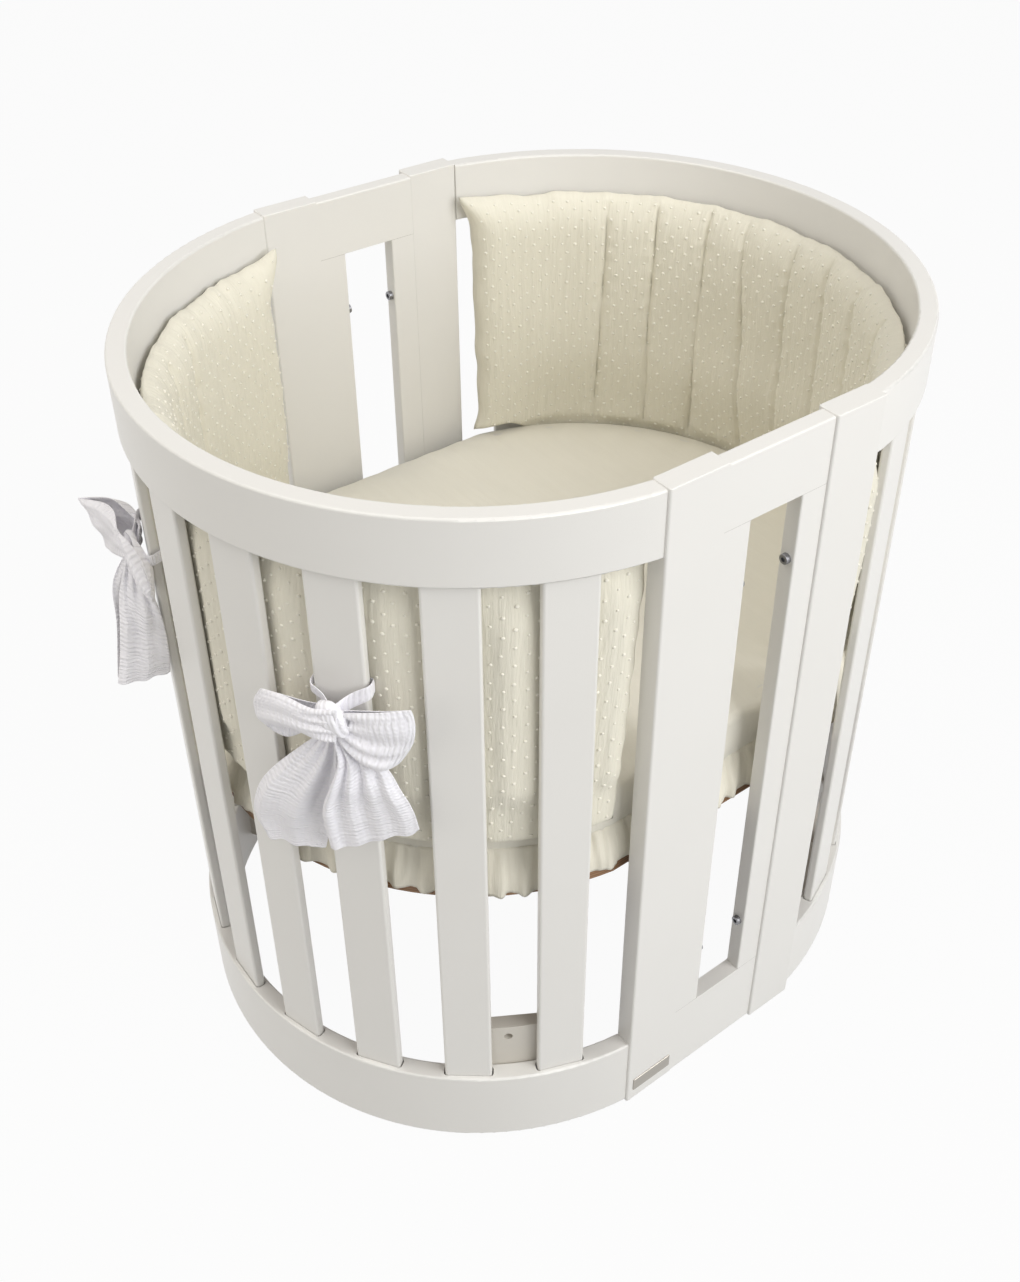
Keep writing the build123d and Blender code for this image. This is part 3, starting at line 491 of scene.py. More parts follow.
def sewn(run, rise, seams, seed):
    """How near each spot is to a seam, as a sharp and a soft measure from 0 to 1."""
    rng = np.random.default_rng(seed)
    sharp, soft = np.zeros_like(run), np.zeros_like(run)
    up = rise / PAD_HEIGHT
    for seam in seams:
        lean = rng.normal(scale=SEAM_LEAN) * (up - 0.5)
        wander = SEAM_WANDER * drift(rng.integers(1 << 30), 0.2, rise)
        off = np.abs(run - seam * PAD_BACK_R + lean + wander)
        stop = rng.uniform(0.98, 1.03)
        firm = 0.75 + 0.25 * drift(rng.integers(1 << 30), 0.25, rise)
        held = ease((stop - up) / 0.05) * firm
        sharp = np.maximum(sharp, held * np.exp(-off / SEAM_CUT))
        soft = np.maximum(soft, held * np.exp(-((off / SEAM_DIP) ** 2)))
    return sharp, soft


# %% [markdown]
# The inner face is thin where it is tucked behind the mattress, and swells above that. The back lies
# against the slats and bulges out between them, because nothing holds it there.

# %% How far each face swells
PAD_SEAM = 6 * MM  # sewn edge in front of the back face
PAD_SWELL = 26 * MM
TUCK_SWELL = 8.5 * MM  # what fits between the mattress and the slats
TUCK_DEPTH = 10 * MM  # below the top of the cover
TUCK_BAND = 17 * MM
SWELL_BAND = 110 * MM  # height over which it swells in full
SEAM_PULL = 9.0 * MM
DIP_PULL = 3.5 * MM
BACK_SLACK = 1.2 * MM
BACK_PULL = 1.6 * MM
BACK_LEAN = 5 * MM  # towards the slats, below the top rail
GAP_BULGE = 5 * MM  # and how much further between two slats
LAST_SLAT = 4 * SLAT_STEP


def inner_swell(seed, run, rise, height, creases, sharp, soft):
    """How far the inner face lies in front of the sewn edge."""
    free = ease((height - COVER_TOP + TUCK_DEPTH) / TUCK_BAND)
    over = ease((height - COVER_TOP) / SWELL_BAND)
    swell = TUCK_SWELL + (PAD_SWELL - TUCK_SWELL) * (0.4 * free + 0.6 * over)
    lumps = drift(seed + 3, 0.15, run, rise) * 2.0 * MM
    pucker = drift(seed + 5, 0.016, run * 0.4, rise) * 0.9 * MM * soft
    pull = SEAM_PULL * sharp + DIP_PULL * soft
    return swell + (lumps + creases + pucker - pull) * free


def back_swell(angle, height, creases, sharp, press):
    """How far the back lies behind the sewn edge. Press is added beyond the last slat."""
    between = np.clip(-np.cos(math.tau * angle / SLAT_STEP), 0, 1)
    below_rail = ease((height - COVER_TOP) / 0.04) * ease((RAIL_FOOT - height) / 0.06)
    bulge = GAP_BULGE + press * ease((angle - LAST_SLAT) / 0.1)
    lean_out = (BACK_LEAN + bulge * between) * below_rail
    return PAD_SEAM - BACK_SLACK + creases - BACK_PULL * sharp + lean_out


# %% [markdown]
# The two faces meet at the edges, where the cloth is ragged and the corners stand up as small ears.
# Where a pad stands on the mattress instead of behind it, its ends ride up and lean inwards.

# %% Where the cloth of a pad lies
FOOT_ROUND = 12 * MM
END_ROUND = 26 * MM
REACH_START = 0.82  # from here on the near end is drawn out
RIDE_REACH = 110 * MM  # from the end of the pad
RIDE_BAND = 70 * MM
RIDE_LEAN = 13 * MM
EAR = 20 * MM
EAR_DROP = 26 * MM
EAR_RISE = 12 * MM
EAR_FOLD = 6 * MM
TOP_EAR_TURN = 0.042  # share of the angle
LOW_EAR_TURN = 0.02
RAGGED_TURN = 0.0016


def pad_form(side, seams, seed, face, lift, near_end):
    """Where the cloth of one face lies: 1 for the inner face, -1 for the back. Lift is how far the ends
    ride up. Near end is how far that end reaches on at the foot and at the top, and presses out."""
    foot_reach, top_reach, press = near_end

    def form(across, up):
        rise = rise_of(up)
        angle = (2 * across - 1) * PAD_END
        run = angle * PAD_BACK_R
        reach = foot_reach + (top_reach - foot_reach) * rise / PAD_HEIGHT
        angle = angle + reach * ease((across - REACH_START) / (1 - REACH_START))
        to_end = (1 - np.abs(2 * across - 1)) * PAD_LENGTH / 2
        to_top = PAD_HEIGHT - rise
        ride = lift * ease((RIDE_REACH - to_end) / RIDE_BAND)
        height = PAD_FOOT + ride + rise * (1 - ride / PAD_HEIGHT)

        creases = drift(seed + 1, 0.010, run, rise * 0.06) * 0.3 * MM
        creases = creases + drift(seed + 2, 0.034, run, rise * 0.15) * 0.6 * MM
        sharp, soft = sewn(run, rise, seams, seed + 4)
        if face > 0:
            swell = -inner_swell(seed, run, rise, height, creases, sharp, soft)
        else:
            swell = back_swell(angle, height, creases, sharp, press)
        closing = rounding(to_top, CROWN) * rounding(rise, FOOT_ROUND) * rounding(to_end, END_ROUND)
        radius = PAD_BACK_R - PAD_SEAM + swell * closing

        wave = drift(seed + 6, 0.08, run) * 1.3 * MM + drift(seed + 7, 0.025, run) * 0.6 * MM
        height = height + wave * ease(1 - to_top / 0.07) + wave * 0.5 * ease(1 - rise / 0.03)
        top_ear = np.exp(-((to_end / EAR) ** 2) - (to_top / EAR_DROP) ** 2)
        low_ear = np.exp(-((to_end / EAR) ** 2) - (rise / EAR) ** 2) * (lift > 0)
        ragged = RAGGED_TURN * drift(seed + 9, 0.06, rise) * ease(1 - to_end / EAR)
        angle = angle * (1 + TOP_EAR_TURN * top_ear + LOW_EAR_TURN * low_ear + ragged)
        lean = RIDE_LEAN * ride / max(lift, MM) * (1 - rise / PAD_HEIGHT) ** 2
        return round_end(side, angle, radius - lean - EAR_FOLD * top_ear, height + EAR_RISE * top_ear)

    return form


# %% [markdown]
# The dots of the cloth are tufts of thread in a staggered grid. They are only millimetres wide, but
# they roughen the outline of the pad, so each is a little dome of its own. The formula that lays the
# cloth also places them, and the cloth's slope there turns them.

# %% One tuft, and the places of all
DOT_PITCH = (19.5 * MM, 10.4 * MM)
DOT_SCATTER = 0.7 * MM
DOT_MARGIN = 3 * MM
DOT_R = 1.8 * MM
DOT_RISE = 1.3 * MM
DOT_STRETCH = 1.15  # a tuft is a little wider than high
DOT_SIDES = 7
DOT_RINGS = ((0.62, 0.78), (1.0, 0.0), (0.9, -0.25))  # shares of the radius and of the rise


def tuft_template():
    """Points and faces of one low dome, sunk a little into the cloth."""
    points, faces = [(0, 0, DOT_RISE)], []
    for radius, rise in DOT_RINGS:
        for i in range(DOT_SIDES):
            turn = math.tau * i / DOT_SIDES
            x, y = radius * DOT_R * math.cos(turn), radius * DOT_R * math.sin(turn)
            points.append((DOT_STRETCH * x, y, rise * DOT_RISE))
    for i in range(DOT_SIDES):
        after = (i + 1) % DOT_SIDES
        faces.append((0, 1 + i, 1 + after))
        for a in (1, 1 + DOT_SIDES):
            b = a + DOT_SIDES
            faces.append((a + i, b + i, b + after, a + after))
    return np.array(points), faces


def tuft_spots(rng, length, height):
    """Shares across and up the cloth of a staggered, slightly scattered grid."""
    pitch_x, pitch_y = DOT_PITCH
    spots = []
    for row in range(1, int(height / pitch_y)):
        start = pitch_x * (0.5 + 0.5 * (row % 2))
        spots += [(start + i * pitch_x, row * pitch_y) for i in range(int(length / pitch_x))]
    spots = np.array(spots) + rng.normal(scale=DOT_SCATTER, size=(len(spots), 2))
    inside = (spots[:, 0] > DOT_MARGIN) & (spots[:, 0] < length - DOT_MARGIN)
    return spots[inside, 0] / length, spots[inside, 1] / height


# %% Tufts on the cloth
SLOPE_STEP = 1 * MM


def unit(vectors):
    """Each vector at length 1."""
    return vectors / np.linalg.norm(vectors, axis=1)[:, None]


def new_object(name, data):
    """A new object in the scene."""
    made = bpy.data.objects.new(name, data)
    bpy.context.scene.collection.objects.link(made)
    return made


def mesh_piece(name, points, faces):
    """A new piece from points and faces."""
    mesh = bpy.data.meshes.new(name)
    mesh.from_pydata(points, [], faces)
    return new_object(name, mesh)


def tufts(name, forms, length, height, seed):
    """Tufts over cloth faces. Forms are pairs of a laying formula and its outward sign."""
    rng = np.random.default_rng(seed)
    template, template_faces = tuft_template()
    points, faces = [], []
    for form, outward in forms:
        across, up = tuft_spots(rng, length, height)
        here = np.column_stack(form(across, up))
        right = np.column_stack(form(across + SLOPE_STEP / length, up)) - here
        top = np.column_stack(form(across, np.minimum(up + SLOPE_STEP / height, 1.0))) - here
        normal = unit(np.cross(right, top) * outward)
        right = unit(right)
        top = np.cross(normal, right)
        size = rng.uniform(0.75, 1.2, size=len(here))
        for at, x, y, z, s in zip(here, right, top, normal, size):
            base = len(points)
            points.extend(at + s * (p[0] * x + p[1] * y + p[2] * z) for p in template)
            faces.extend(tuple(base + i for i in face) for face in template_faces)
    piece = mesh_piece(name, points, faces)
    finish_mesh(piece)
    return piece


# %% [markdown]
# The rear pad is sewn at every step and stands on the mattress with its ends. The front pad has fewer
# seams and goes down behind the mattress. The near end of each is drawn out towards its post.

# %% Make the two pads
PAD_GRID = (400, 100)
SEAM_STEP = math.radians(12)
REAR_SEAMS = [SEAM_STEP * i for i in range(-4, 5)]
FRONT_SEAMS = [SEAM_STEP * i for i in (-4, -3, -1, 1, 3, 4)]
REAR_LIFT = COVER_TOP - PAD_FOOT
REAR_NEAR_END = (0.04, 0.05, 10 * MM)
FRONT_NEAR_END = (0.0, 0.07, 0.0)


def make_pad(name, side, body, seams, seed, lift, near_end):
    """One bumper pad: inner face and back sewn together, with its tufts."""
    forms = {face: pad_form(side, seams, seed, face, lift, near_end) for face in (1, -1)}
    sheets = []
    for face, form in forms.items():
        sheet = cloth_grid(f"{name}_{face}", *PAD_GRID)
        sheets.append(lay(sheet, form, PAD_LENGTH, PAD_CLOTH, shift=face))
    pad = join(name, sheets)
    finish_mesh(pad)
    dress(pad, body, DOTTED)
    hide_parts(body)
    outward = [(form, side * face) for face, form in forms.items()]
    dots = tufts(f"{name}_dots", outward, PAD_LENGTH, PAD_CLOTH, seed + 20)
    dress(dots, body, DOT_THREAD)


make_pad("rear_bumper_pad", 1, "bumper_rear", REAR_SEAMS, 11, REAR_LIFT, REAR_NEAR_END)
make_pad("front_bumper_pad", -1, "bumper_front", FRONT_SEAMS, 47, 0.0, FRONT_NEAR_END)

# %% [markdown]
# ## Mattress, fitted cover and frill
# All three follow the same oval of two arcs and two straight sides. So each is a stack of rings round
# that oval, joined into a skin, and only the way a ring grows and rises differs.

# %% An oval path, and a skin over rings
def oval_path(radius, half_width, count):
    """Way round an oval at even steps, with the points and outward directions there."""
    sweep = math.asin(half_width / radius)
    straight = 2 * (ARC_CENTRE + radius * math.cos(sweep))
    arc = 2 * sweep * radius
    half = arc + straight
    run = np.arange(count) / count * 2 * half
    side = np.where(run < half, 1, -1)  # the second half is the first one turned round
    along = run - np.where(run < half, 0, half)
    turn = along / radius - sweep
    on_arc = along < arc
    x = side * np.where(on_arc, ARC_CENTRE + radius * np.cos(turn), straight / 2 - (along - arc))
    y = side * np.where(on_arc, radius * np.sin(turn), half_width)
    return run, x, y, side * np.where(on_arc, np.cos(turn), 0), side * np.where(on_arc, np.sin(turn), 1)


def ring(path, grow, height):
    """One ring of an oval, grown outwards and at a height."""
    _, x, y, out_x, out_y = path
    return np.column_stack(np.broadcast_arrays(x + grow * out_x, y + grow * out_y, height))


def skin(name, rings, caps=()):
    """A mesh from rings of equally many points, one above the other. Caps are the rings to close."""
    numbers = np.arange(len(rings) * len(rings[0])).reshape(len(rings), -1)
    faces = []
    for low, high in zip(numbers, numbers[1:]):
        faces.extend(np.column_stack((low, np.roll(low, -1), np.roll(high, -1), high)).tolist())
    faces.extend(numbers[cap].tolist() for cap in caps)
    return mesh_piece(name, np.concatenate(rings).tolist(), faces)


def set_uv(piece, run, down, top_from=math.inf):
    """UV in metres: along the ring and down, or X and Y from ring number top_from upwards."""
    layer = piece.data.uv_layers.new(name="UVMap").data
    count = len(run)
    once_round = run[-1] + run[1]
    for polygon in piece.data.polygons:
        level, step = divmod(polygon.index, count)
        for loop, vertex in zip(polygon.loop_indices, polygon.vertices):
            row, column = divmod(vertex, count)
            wrapped = step == count - 1 and column == 0
            layer[loop].uv = (run[column] + wrapped * once_round, down[row])
            if level >= top_from:
                layer[loop].uv = piece.data.vertices[vertex].co.xy


# %% [markdown]
# The mattress is a block of foam with rounded edges. Its cover hides most of it, so a few rings do.

# %% The mattress
OVAL_STEPS = 440
CORE_UV_STEP = 30 * MM
CORE_SECTION = [
    (-60, CORE_FOOT), (-8, CORE_FOOT), (-2.5, CORE_FOOT + 2 * MM), (-1.5, CORE_FOOT + 8 * MM),
    (-2.5, CORE_FOOT + 50 * MM), (-1.5, CORE_TOP - 26 * MM), (-4, CORE_TOP - 12 * MM),
    (-14, CORE_TOP - 5 * MM), (-70, CORE_TOP - 1 * MM),
]  # growth of the oval in millimetres, and height
oval = oval_path(CORE_R, CORE_HALF_W, OVAL_STEPS)
run, oval_x = oval[:2]
core_rings = [ring(oval, grow * MM, height) for grow, height in CORE_SECTION]
core = skin("mattress_core", core_rings, caps=(-1, 0))
set_uv(core, run, np.arange(len(core_rings)) * CORE_UV_STEP)
finish_mesh(core)
dress(core, "mattress", TICKING)
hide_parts("mattress")

# %% [markdown]
# The cover is one sheet, drawn over the top and down the sides. It is taut on the round ends and has
# slack on the straight sides, so its folds grow there. On the top it is pulled a little at the rim.

# %% The fitted cover
COVER_T = 1.4 * MM
COVER_SEAM_Z = FRILL_HEM_Z + 56 * MM
COVER_EDGE = 8 * MM  # rounding of the rim
COVER_INSET = 7 * MM
SIDE_SLACK = 3.2 * MM
ROUND_SLACK = 0.3 * MM
RIM_PULL = 1.6 * MM
TOP_SOFT = 1.3 * MM
SIDE_ROWS = 22
TOP_ROWS = 24
side_drop = COVER_TOP - COVER_EDGE - COVER_SEAM_Z
on_round = ease((np.abs(oval_x) - 0.10) / 0.05)  # 1 on the round ends, 0 on the sides
cover_rings, cover_down = [], []
for down in np.linspace(1, 0, SIDE_ROWS):
    height = COVER_SEAM_Z + (1 - down) * side_drop
    folds = drift(301, 0.05, run + 0.5 * height * np.sign(oval_x), height * 0.4)
    hang = np.sin(math.pi * min(1.0, 0.15 + 0.85 * down))
    slack = SIDE_SLACK * (1 - on_round) * hang + ROUND_SLACK * on_round
    tuck = COVER_EDGE * (1 - rounding(down, 0.16))
    cover_rings.append(ring(oval, COVER_T - tuck + slack * (0.6 + folds), height))
    cover_down.append(down * side_drop)
for inset in np.linspace(0.035, 0.96, TOP_ROWS):
    inner = ease(inset / 0.3)
    rim = ring(oval, -COVER_INSET, COVER_TOP - COVER_EDGE + COVER_INSET * ease(inset / 0.1))
    x, y = rim[:, 0] * (1 - 0.72 * inset), rim[:, 1] * (1 - inset)
    pull = drift(305, 0.055, run) * RIM_PULL * (1 - inner) * ease(inset / 0.07)
    soft = drift(306, 0.22, x, y) * TOP_SOFT * inner
    cover_rings.append(np.column_stack((x, y, rim[:, 2] + pull + soft)))
    cover_down.append(0.0)
cover = skin("mattress_sheet", cover_rings, caps=(-1,))
set_uv(cover, run, cover_down, top_from=SIDE_ROWS - 1)
finish_mesh(cover)
thicken(cover, COVER_T, offset=-1.0)
dress(cover, "mattress", PLAIN)
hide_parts("mattress_cover")

# %% [markdown]
# The frill is a strip that is longer than the way round, gathered along the hem of the cover. Evenly
# spaced folds would look machine made, so each fold gets its own width and depth, and the folds lean.

# %% Folds of the frill
FRILL_STEPS = 1500
fine_oval = oval_path(CORE_R, CORE_HALF_W, FRILL_STEPS)
run_f = fine_oval[0]
round_len = run_f[-1] + run_f[1]
rng = np.random.default_rng(71)
spans = rng.uniform(20, 46, size=80) * MM
spans = spans[: np.searchsorted(np.cumsum(spans), round_len)]
spans *= round_len / spans.sum()
fold_starts = np.concatenate(([0], np.cumsum(spans)))
fold_phase = np.interp(run_f, fold_starts, np.arange(len(fold_starts)))
fold_height = rng.uniform(0.55, 1.0, size=len(spans) + 1)
fold_height[-1] = fold_height[0]
fold_depth = np.interp(run_f, fold_starts, fold_height)
fold_lean = 0.3 * drift(404, 0.35, run_f)

# %% The gathered frill
FRILL_ROWS = 14
FRILL_H = COVER_SEAM_Z - FRILL_HEM_Z
FRILL_T = 1.0 * MM
FRILL_OUT = 0.9 * MM
FRILL_FLARE = BASE_R - CORE_R + 2.4 * MM  # so that it clears the edge of the base
FRILL_LIMIT = 17 * MM
FOLD_OUT = 3.6 * MM
SEAM_COVER = 2 * MM  # the frill starts this far above the seam
frill_rings, frill_down = [], []
for down in np.arange(FRILL_ROWS + 1) / FRILL_ROWS:
    folds = np.sin(math.tau * (fold_phase + fold_lean * down)) * fold_depth
    folds = folds + 0.3 * np.sin(4 * math.pi * fold_phase + 1.0)
    gathers = drift(401, 0.010, run_f) * 0.8 * MM * (1 - down) ** 1.5 * ease(down / 0.1)
    crinkle = drift(405, 0.016, run_f, np.full_like(run_f, 0.02 * down)) * 0.5 * MM
    reach = FRILL_OUT + FRILL_FLARE * ease(0.08 + 1.1 * down)
    out = reach + np.maximum(folds, -0.55) * FOLD_OUT * down**0.7 + gathers + crinkle * ease(down / 0.2)
    out = np.minimum(out, FRILL_LIMIT)
    hem_rise = np.maximum((4.0 + 4.0 * drift(403, 0.17, run_f) - folds) * MM, -1 * MM)
    height = COVER_SEAM_Z + SEAM_COVER - down * (FRILL_H + SEAM_COVER - hem_rise)
    frill_rings.append(ring(fine_oval, out, height))
    frill_down.append(down * FRILL_H)
frill = skin("cover_frill", frill_rings)
set_uv(frill, run_f, frill_down)
finish_mesh(frill)
thicken(frill, FRILL_T)
dress(frill, "mattress", FRILL_LIT_COTTON)

# %% [markdown]
# ## Tied bows
# A bow is one ribbon of double gauze: a narrow tie goes round the slat, a knot holds it, two loops
# stand out to the sides and two tails hang below. All of them are gathered at the knot and fan out
# from it. The bow is modelled in the frame of its slat: X to the right, Y up and Z outwards.

# %% The frame of a bow, and smooth edges
BOW_Z = 0.649
SLAT_INSET = 6 * MM  # face of a slat behind the face of the rails


def on_slat(angle, form):
    """A form in millimetres across, up and out from a front slat, put on the crib."""
    out = np.array([-math.cos(angle), -math.sin(angle), 0])
    right = np.array([-out[1], out[0], 0])
    up = np.array([0, 0, 1])
    middle = np.array(round_end(-1, angle, ARC_R - SLAT_INSET, BOW_Z))

    def placed(across, along):
        x, y, z = np.broadcast_arrays(*form(across, along))
        return (middle + MM * (np.outer(x, right) + np.outer(y, up) + np.outer(z, out))).T

    return placed


def through(points, share):
    """A smooth curve through a row of points, at shares of its way from 0 to 1."""
    points = np.array(points)
    last = len(points) - 1
    at = np.clip(share, 0, 1) * last
    start = np.minimum(at.astype(int), last - 1)
    t = (at - start)[:, None]
    slope = np.gradient(points, axis=0)
    bend = (t**3 - 2 * t**2 + t) * slope[start] + (t**3 - t**2) * slope[start + 1]
    blend = 3 * t**2 - 2 * t**3
    return (1 - blend) * points[start] + blend * points[start + 1] + bend


def steps(share, stops):
    """A height that runs smoothly through pairs of a place from 0 to 1 and a height."""
    places, heights = np.array(stops).T
    at = np.interp(share, places, np.arange(len(places)))
    low = np.clip(np.floor(at).astype(int), 0, len(places) - 2)
    return heights[low] + (heights[low + 1] - heights[low]) * ease(at - low)


# %% [markdown]
# Each ribbon of the bow is cloth between two edges that start at the knot. A tail ends at its hem,
# and a loop turns at its tip and comes back behind itself. Folds lift the cloth between the edges:
# they are tight gathers at the knot and open out away from it.

# %% Tails and loops, in millimetres
OUT = (0, 0, 1)
RIGHT = (1, 0, 0)
LEFT = (-1, 0, 0)
SLAT_GAP = 1.5  # between the bow and the face of the slat
SLAT_HALF_W = 28  # with room for the cloth
GATHERS = 3.4  # waves across a ribbon at the knot
GATHER_H = 2.2
SOFT_H = 1.6
HEM_CORNER = 2.5
HEM_WAVE = 1.3


def ribbon_form(first, second, folds, push, belly, seed):
    """Cloth between two edges. Folds are pairs of a place across and a height along push. Belly is
    how far the tip of a loop swells, and it is None for a tail."""

    def form(across, along):
        edge, other = through(first, along), through(second, along)
        spot = edge + (other - edge) * across[:, None]
        if belly is None:
            near = along
            opening = ease(2 * along) * (1 - 0.5 * ease(2 * along - 0.9))
            corner = 1 - ease(np.minimum(across, 1 - across) / 0.08)
            spot[:, 1] += HEM_CORNER * corner * along**6
            spot[:, 1] += HEM_WAVE * drift(seed + 2, 0.4, across) * along
            side = 1.0
        else:
            near = 2 * np.minimum(along, 1 - along)
            opening = ease(1.3 * near)
            swell = np.sin(math.pi * across) * np.sin(math.pi * along) ** 2
            spot = spot + np.outer(swell, belly)
            side = np.cos(math.pi * along)
        gathers = np.sin(math.tau * (GATHERS * across + 0.1)) * GATHER_H
        gathers = gathers * ease(7 * near) * (1 - ease(1.6 * near))
        soft = drift(seed, 0.5, across, along) * SOFT_H * opening
        lift = (steps(across, folds) * opening + gathers) * side + soft
        x, y, z = (spot + np.outer(lift, push)).T
        return x, y, np.where(x > SLAT_HALF_W, z, np.maximum(z, SLAT_GAP))

    return form


def cut_size(first, second):
    """Greatest width and mean length of the cloth between two edges, in metres."""
    share = np.linspace(0, 1, 90)
    edge, other = through(first, share), through(second, share)
    width = np.linalg.norm(other - edge, axis=1).max()
    return width * MM, (way_along(edge) + way_along(other)) / 2 * MM


# %% Knot and tie, in millimetres
def knot_form(middle, half_width, half_height, half_depth):
    """The knot: a soft bean of cloth, with folds that run round it."""

    def form(across, along):
        turn = math.tau * across
        girth = np.sin(math.pi * np.clip(along, 0.02, 0.98)) ** 0.5
        girth = girth * (1 + 0.03 * np.cos(6 * math.pi * along + np.sin(turn)))
        y = half_height * girth * np.sin(turn)
        x = (2 * along - 1) * half_width - 0.3 * y
        return middle[0] + x, middle[1] + y, middle[2] + half_depth * girth * np.cos(turn)

    return form


def tie_form(route, start, end):
    """The tie: from the knot round the slat and back, with a width at each end."""

    def form(across, along):
        x, y, z = through(route, along).T
        width = start + (end - start) * along
        return x, y + (across - 0.5) * width, z

    return form


# %% [markdown]
# The two bows are tied alike but hang differently. The front one faces outwards. The one on the left
# has slipped round: its left loop stands up and out, and its tails hang edge on to the slat. A row
# below is a ribbon: its two edges from the knot on, its folds, where they push, and its belly.

# %% Edges and folds of the front bow, in millimetres across, up and out from the slat
FRONT_BOW = {
    "left_tail": (
        [(-10, -20, 16), (-42, -55, 14), (-84, -108, 10), (-102, -160, 8), (-95, -193, 7)],
        [(0, -22, 16), (-2, -75, 12), (-12, -130, 9), (-22, -165, 8), (-29, -194, 8)],
        [(0, 1), (0.14, 11), (0.38, 9), (0.55, 12), (0.74, 2), (1, 1)], OUT, None),
    "right_tail": (
        [(0, -20, 22), (5, -46, 25), (-5, -81, 25), (-16, -111, 22), (-19, -139, 20), (-17, -180, 17)],
        [(10, -18, 18), (40, -50, 12), (58, -80, 9), (68, -108, 8), (72, -134, 8)],
        [(0, 3), (0.06, 8), (0.17, 0), (0.33, 7), (0.46, 1), (0.6, 6), (0.74, 2), (0.87, 5), (1, 0)],
        OUT, None),
    "left_loop": (
        [(9, -15, 33), (-14, -17, 33), (-42, -20, 27), (-72, -38, 14), (-56, -51, 8), (-32, -36, 7),
         (-6, -20, 12)],
        [(12, 23, 31), (-14, 17, 31), (-44, 17, 24), (-71, 11, 15), (-48, 9, 13), (-22, 7, 13),
         (2, 10, 14)],
        [(0, -2), (0.2, 4), (0.5, 5), (0.8, 5), (0.93, 2), (1, -3)], OUT, (-10, 0, 0)),
    "right_loop": (
        [(6, -22, 24), (26, -42, 24), (46, -50, 20), (61, -40, 13), (44, -40, 7), (26, -32, 7),
         (6, -16, 12)],
        [(8, 12, 24), (30, 19, 24), (54, 24, 21), (74, 26, 14), (54, 22, 17), (30, 17, 19), (8, 10, 19)],
        [(0, -1), (0.1, 4), (0.2, -1), (0.32, 5), (0.45, 0), (0.7, 6), (0.9, 3), (1, -1)], OUT, (8, 0, 0)),
}
FRONT_KNOT = ((3, 4, 25), 15, 19, 9)
FRONT_TIE = (
    [(0, 3, 19), (-13, 10, 8), (-27.5, 14, 2), (-29, 16, -6), (-25, 18, -12.8), (0, 19, -13),
     (25, 20, -12.8), (29.5, 22, -6), (28.5, 22, 2), (13, 13, 8), (0, 3, 19)],
    8, 19)

# %% Edges and folds of the bow on the left
SIDE_BOW = {
    "left_tail": (
        [(-4, 15, 22), (-8, -24, 40), (-3, -66, 44), (0, -100, 49), (4, -138, 55)],
        [(4, 11, 10), (2, -44, 6), (4, -72, 5), (6, -100, 5), (8, -124, 6)],
        [(0, 0), (0.2, 4), (0.5, 1), (0.75, 4), (1, 0)], LEFT, None),
    "right_tail": (
        [(0, 13, 22), (0, -28, 35), (6, -62, 41), (12, -101, 48), (18, -134, 56)],
        [(14, 7, 9), (30, -39, 1), (31, -68, -1), (32, -102, 0), (34, -121, 2)],
        [(0, 0), (0.14, 6), (0.36, 1), (0.55, 5), (0.8, 1), (1, 0)], RIGHT, None),
    "left_loop": (
        [(0, 9, 20), (-14, 5, 27), (-30, 2, 33), (-46, 0, 38), (-32, 6, 14), (-14, 7, 7), (0, 11, 10)],
        [(2, 44, 24), (-22, 52, 29), (-46, 52, 39), (-68, 48, 56), (-45, 55, 18), (-28, 43, 4),
         (-6, 38, 4)],
        [(0, 0), (0.3, 5), (0.55, 3), (0.76, 9), (0.88, 5), (1, -16)], OUT, (4, 0, -3)),
    "right_loop": (
        [(0, 9, 20), (12, 4, 19), (24, -12, 14), (38, -22, 7), (26, -14, 4), (12, 2, 6), (0, 9, 11)],
        [(-2, 44, 24), (14, 39, 21), (31, 22, 15), (46, -2, 6), (33, 19, 4), (15, 36, 9), (-2, 42, 18)],
        [(0, 0), (0.3, 3), (0.55, 2), (0.76, 7), (0.88, 4), (1, -14)], OUT, (3, 0, 0)),
}
SIDE_KNOT = ((0, 26, 15), 12, 13, 7)
SIDE_TIE = (
    [(0, 26, 15), (-12, 34, 8), (-25, 40, 3), (-28.5, 42, -4), (-25, 41, -12.8), (0, 36, -13),
     (25, 28, -12.8), (29.5, 24, -6), (27.5, 22, 2), (13, 24, 7), (0, 26, 15)],
    16, 12)

# %% [markdown]
# Tying is then the same for both: each ribbon is laid as flat cloth, gets its thickness and is rounded
# by one level of subdivision. Its flat size is its length, and the width that its area asks for.

# %% Tie the bows to their slats
GAUZE_T = 1.1 * MM
TAIL_GRID = (60, 72)
LOOP_GRID = (44, 100)
KNOT_GRID = (48, 30)
TIE_GRID = (6, 120)


def bow_cloths(seed, ribbons, knot, tie):
    """Name, form, grid, flat size and hold of each cloth of a bow."""
    cloths = []
    for part, shape in ribbons.items():
        grid, held = (TAIL_GRID, "hung") if part.endswith("tail") else (LOOP_GRID, "folded")
        seed += 5
        cloths.append((part, ribbon_form(*shape, seed), grid, cut_size(*shape[:2]), held))
    girth = math.pi * (knot[2] + knot[3]) * MM
    cloths.append(("knot", knot_form(*knot), KNOT_GRID, (girth, 2 * knot[1] * MM), "folded"))
    way = way_along(tie[0]) * MM
    width = (tie[1] + tie[2]) / 2 * MM
    cloths.append(("tie", tie_form(*tie), TIE_GRID, (width, way), "stretched"))
    return cloths


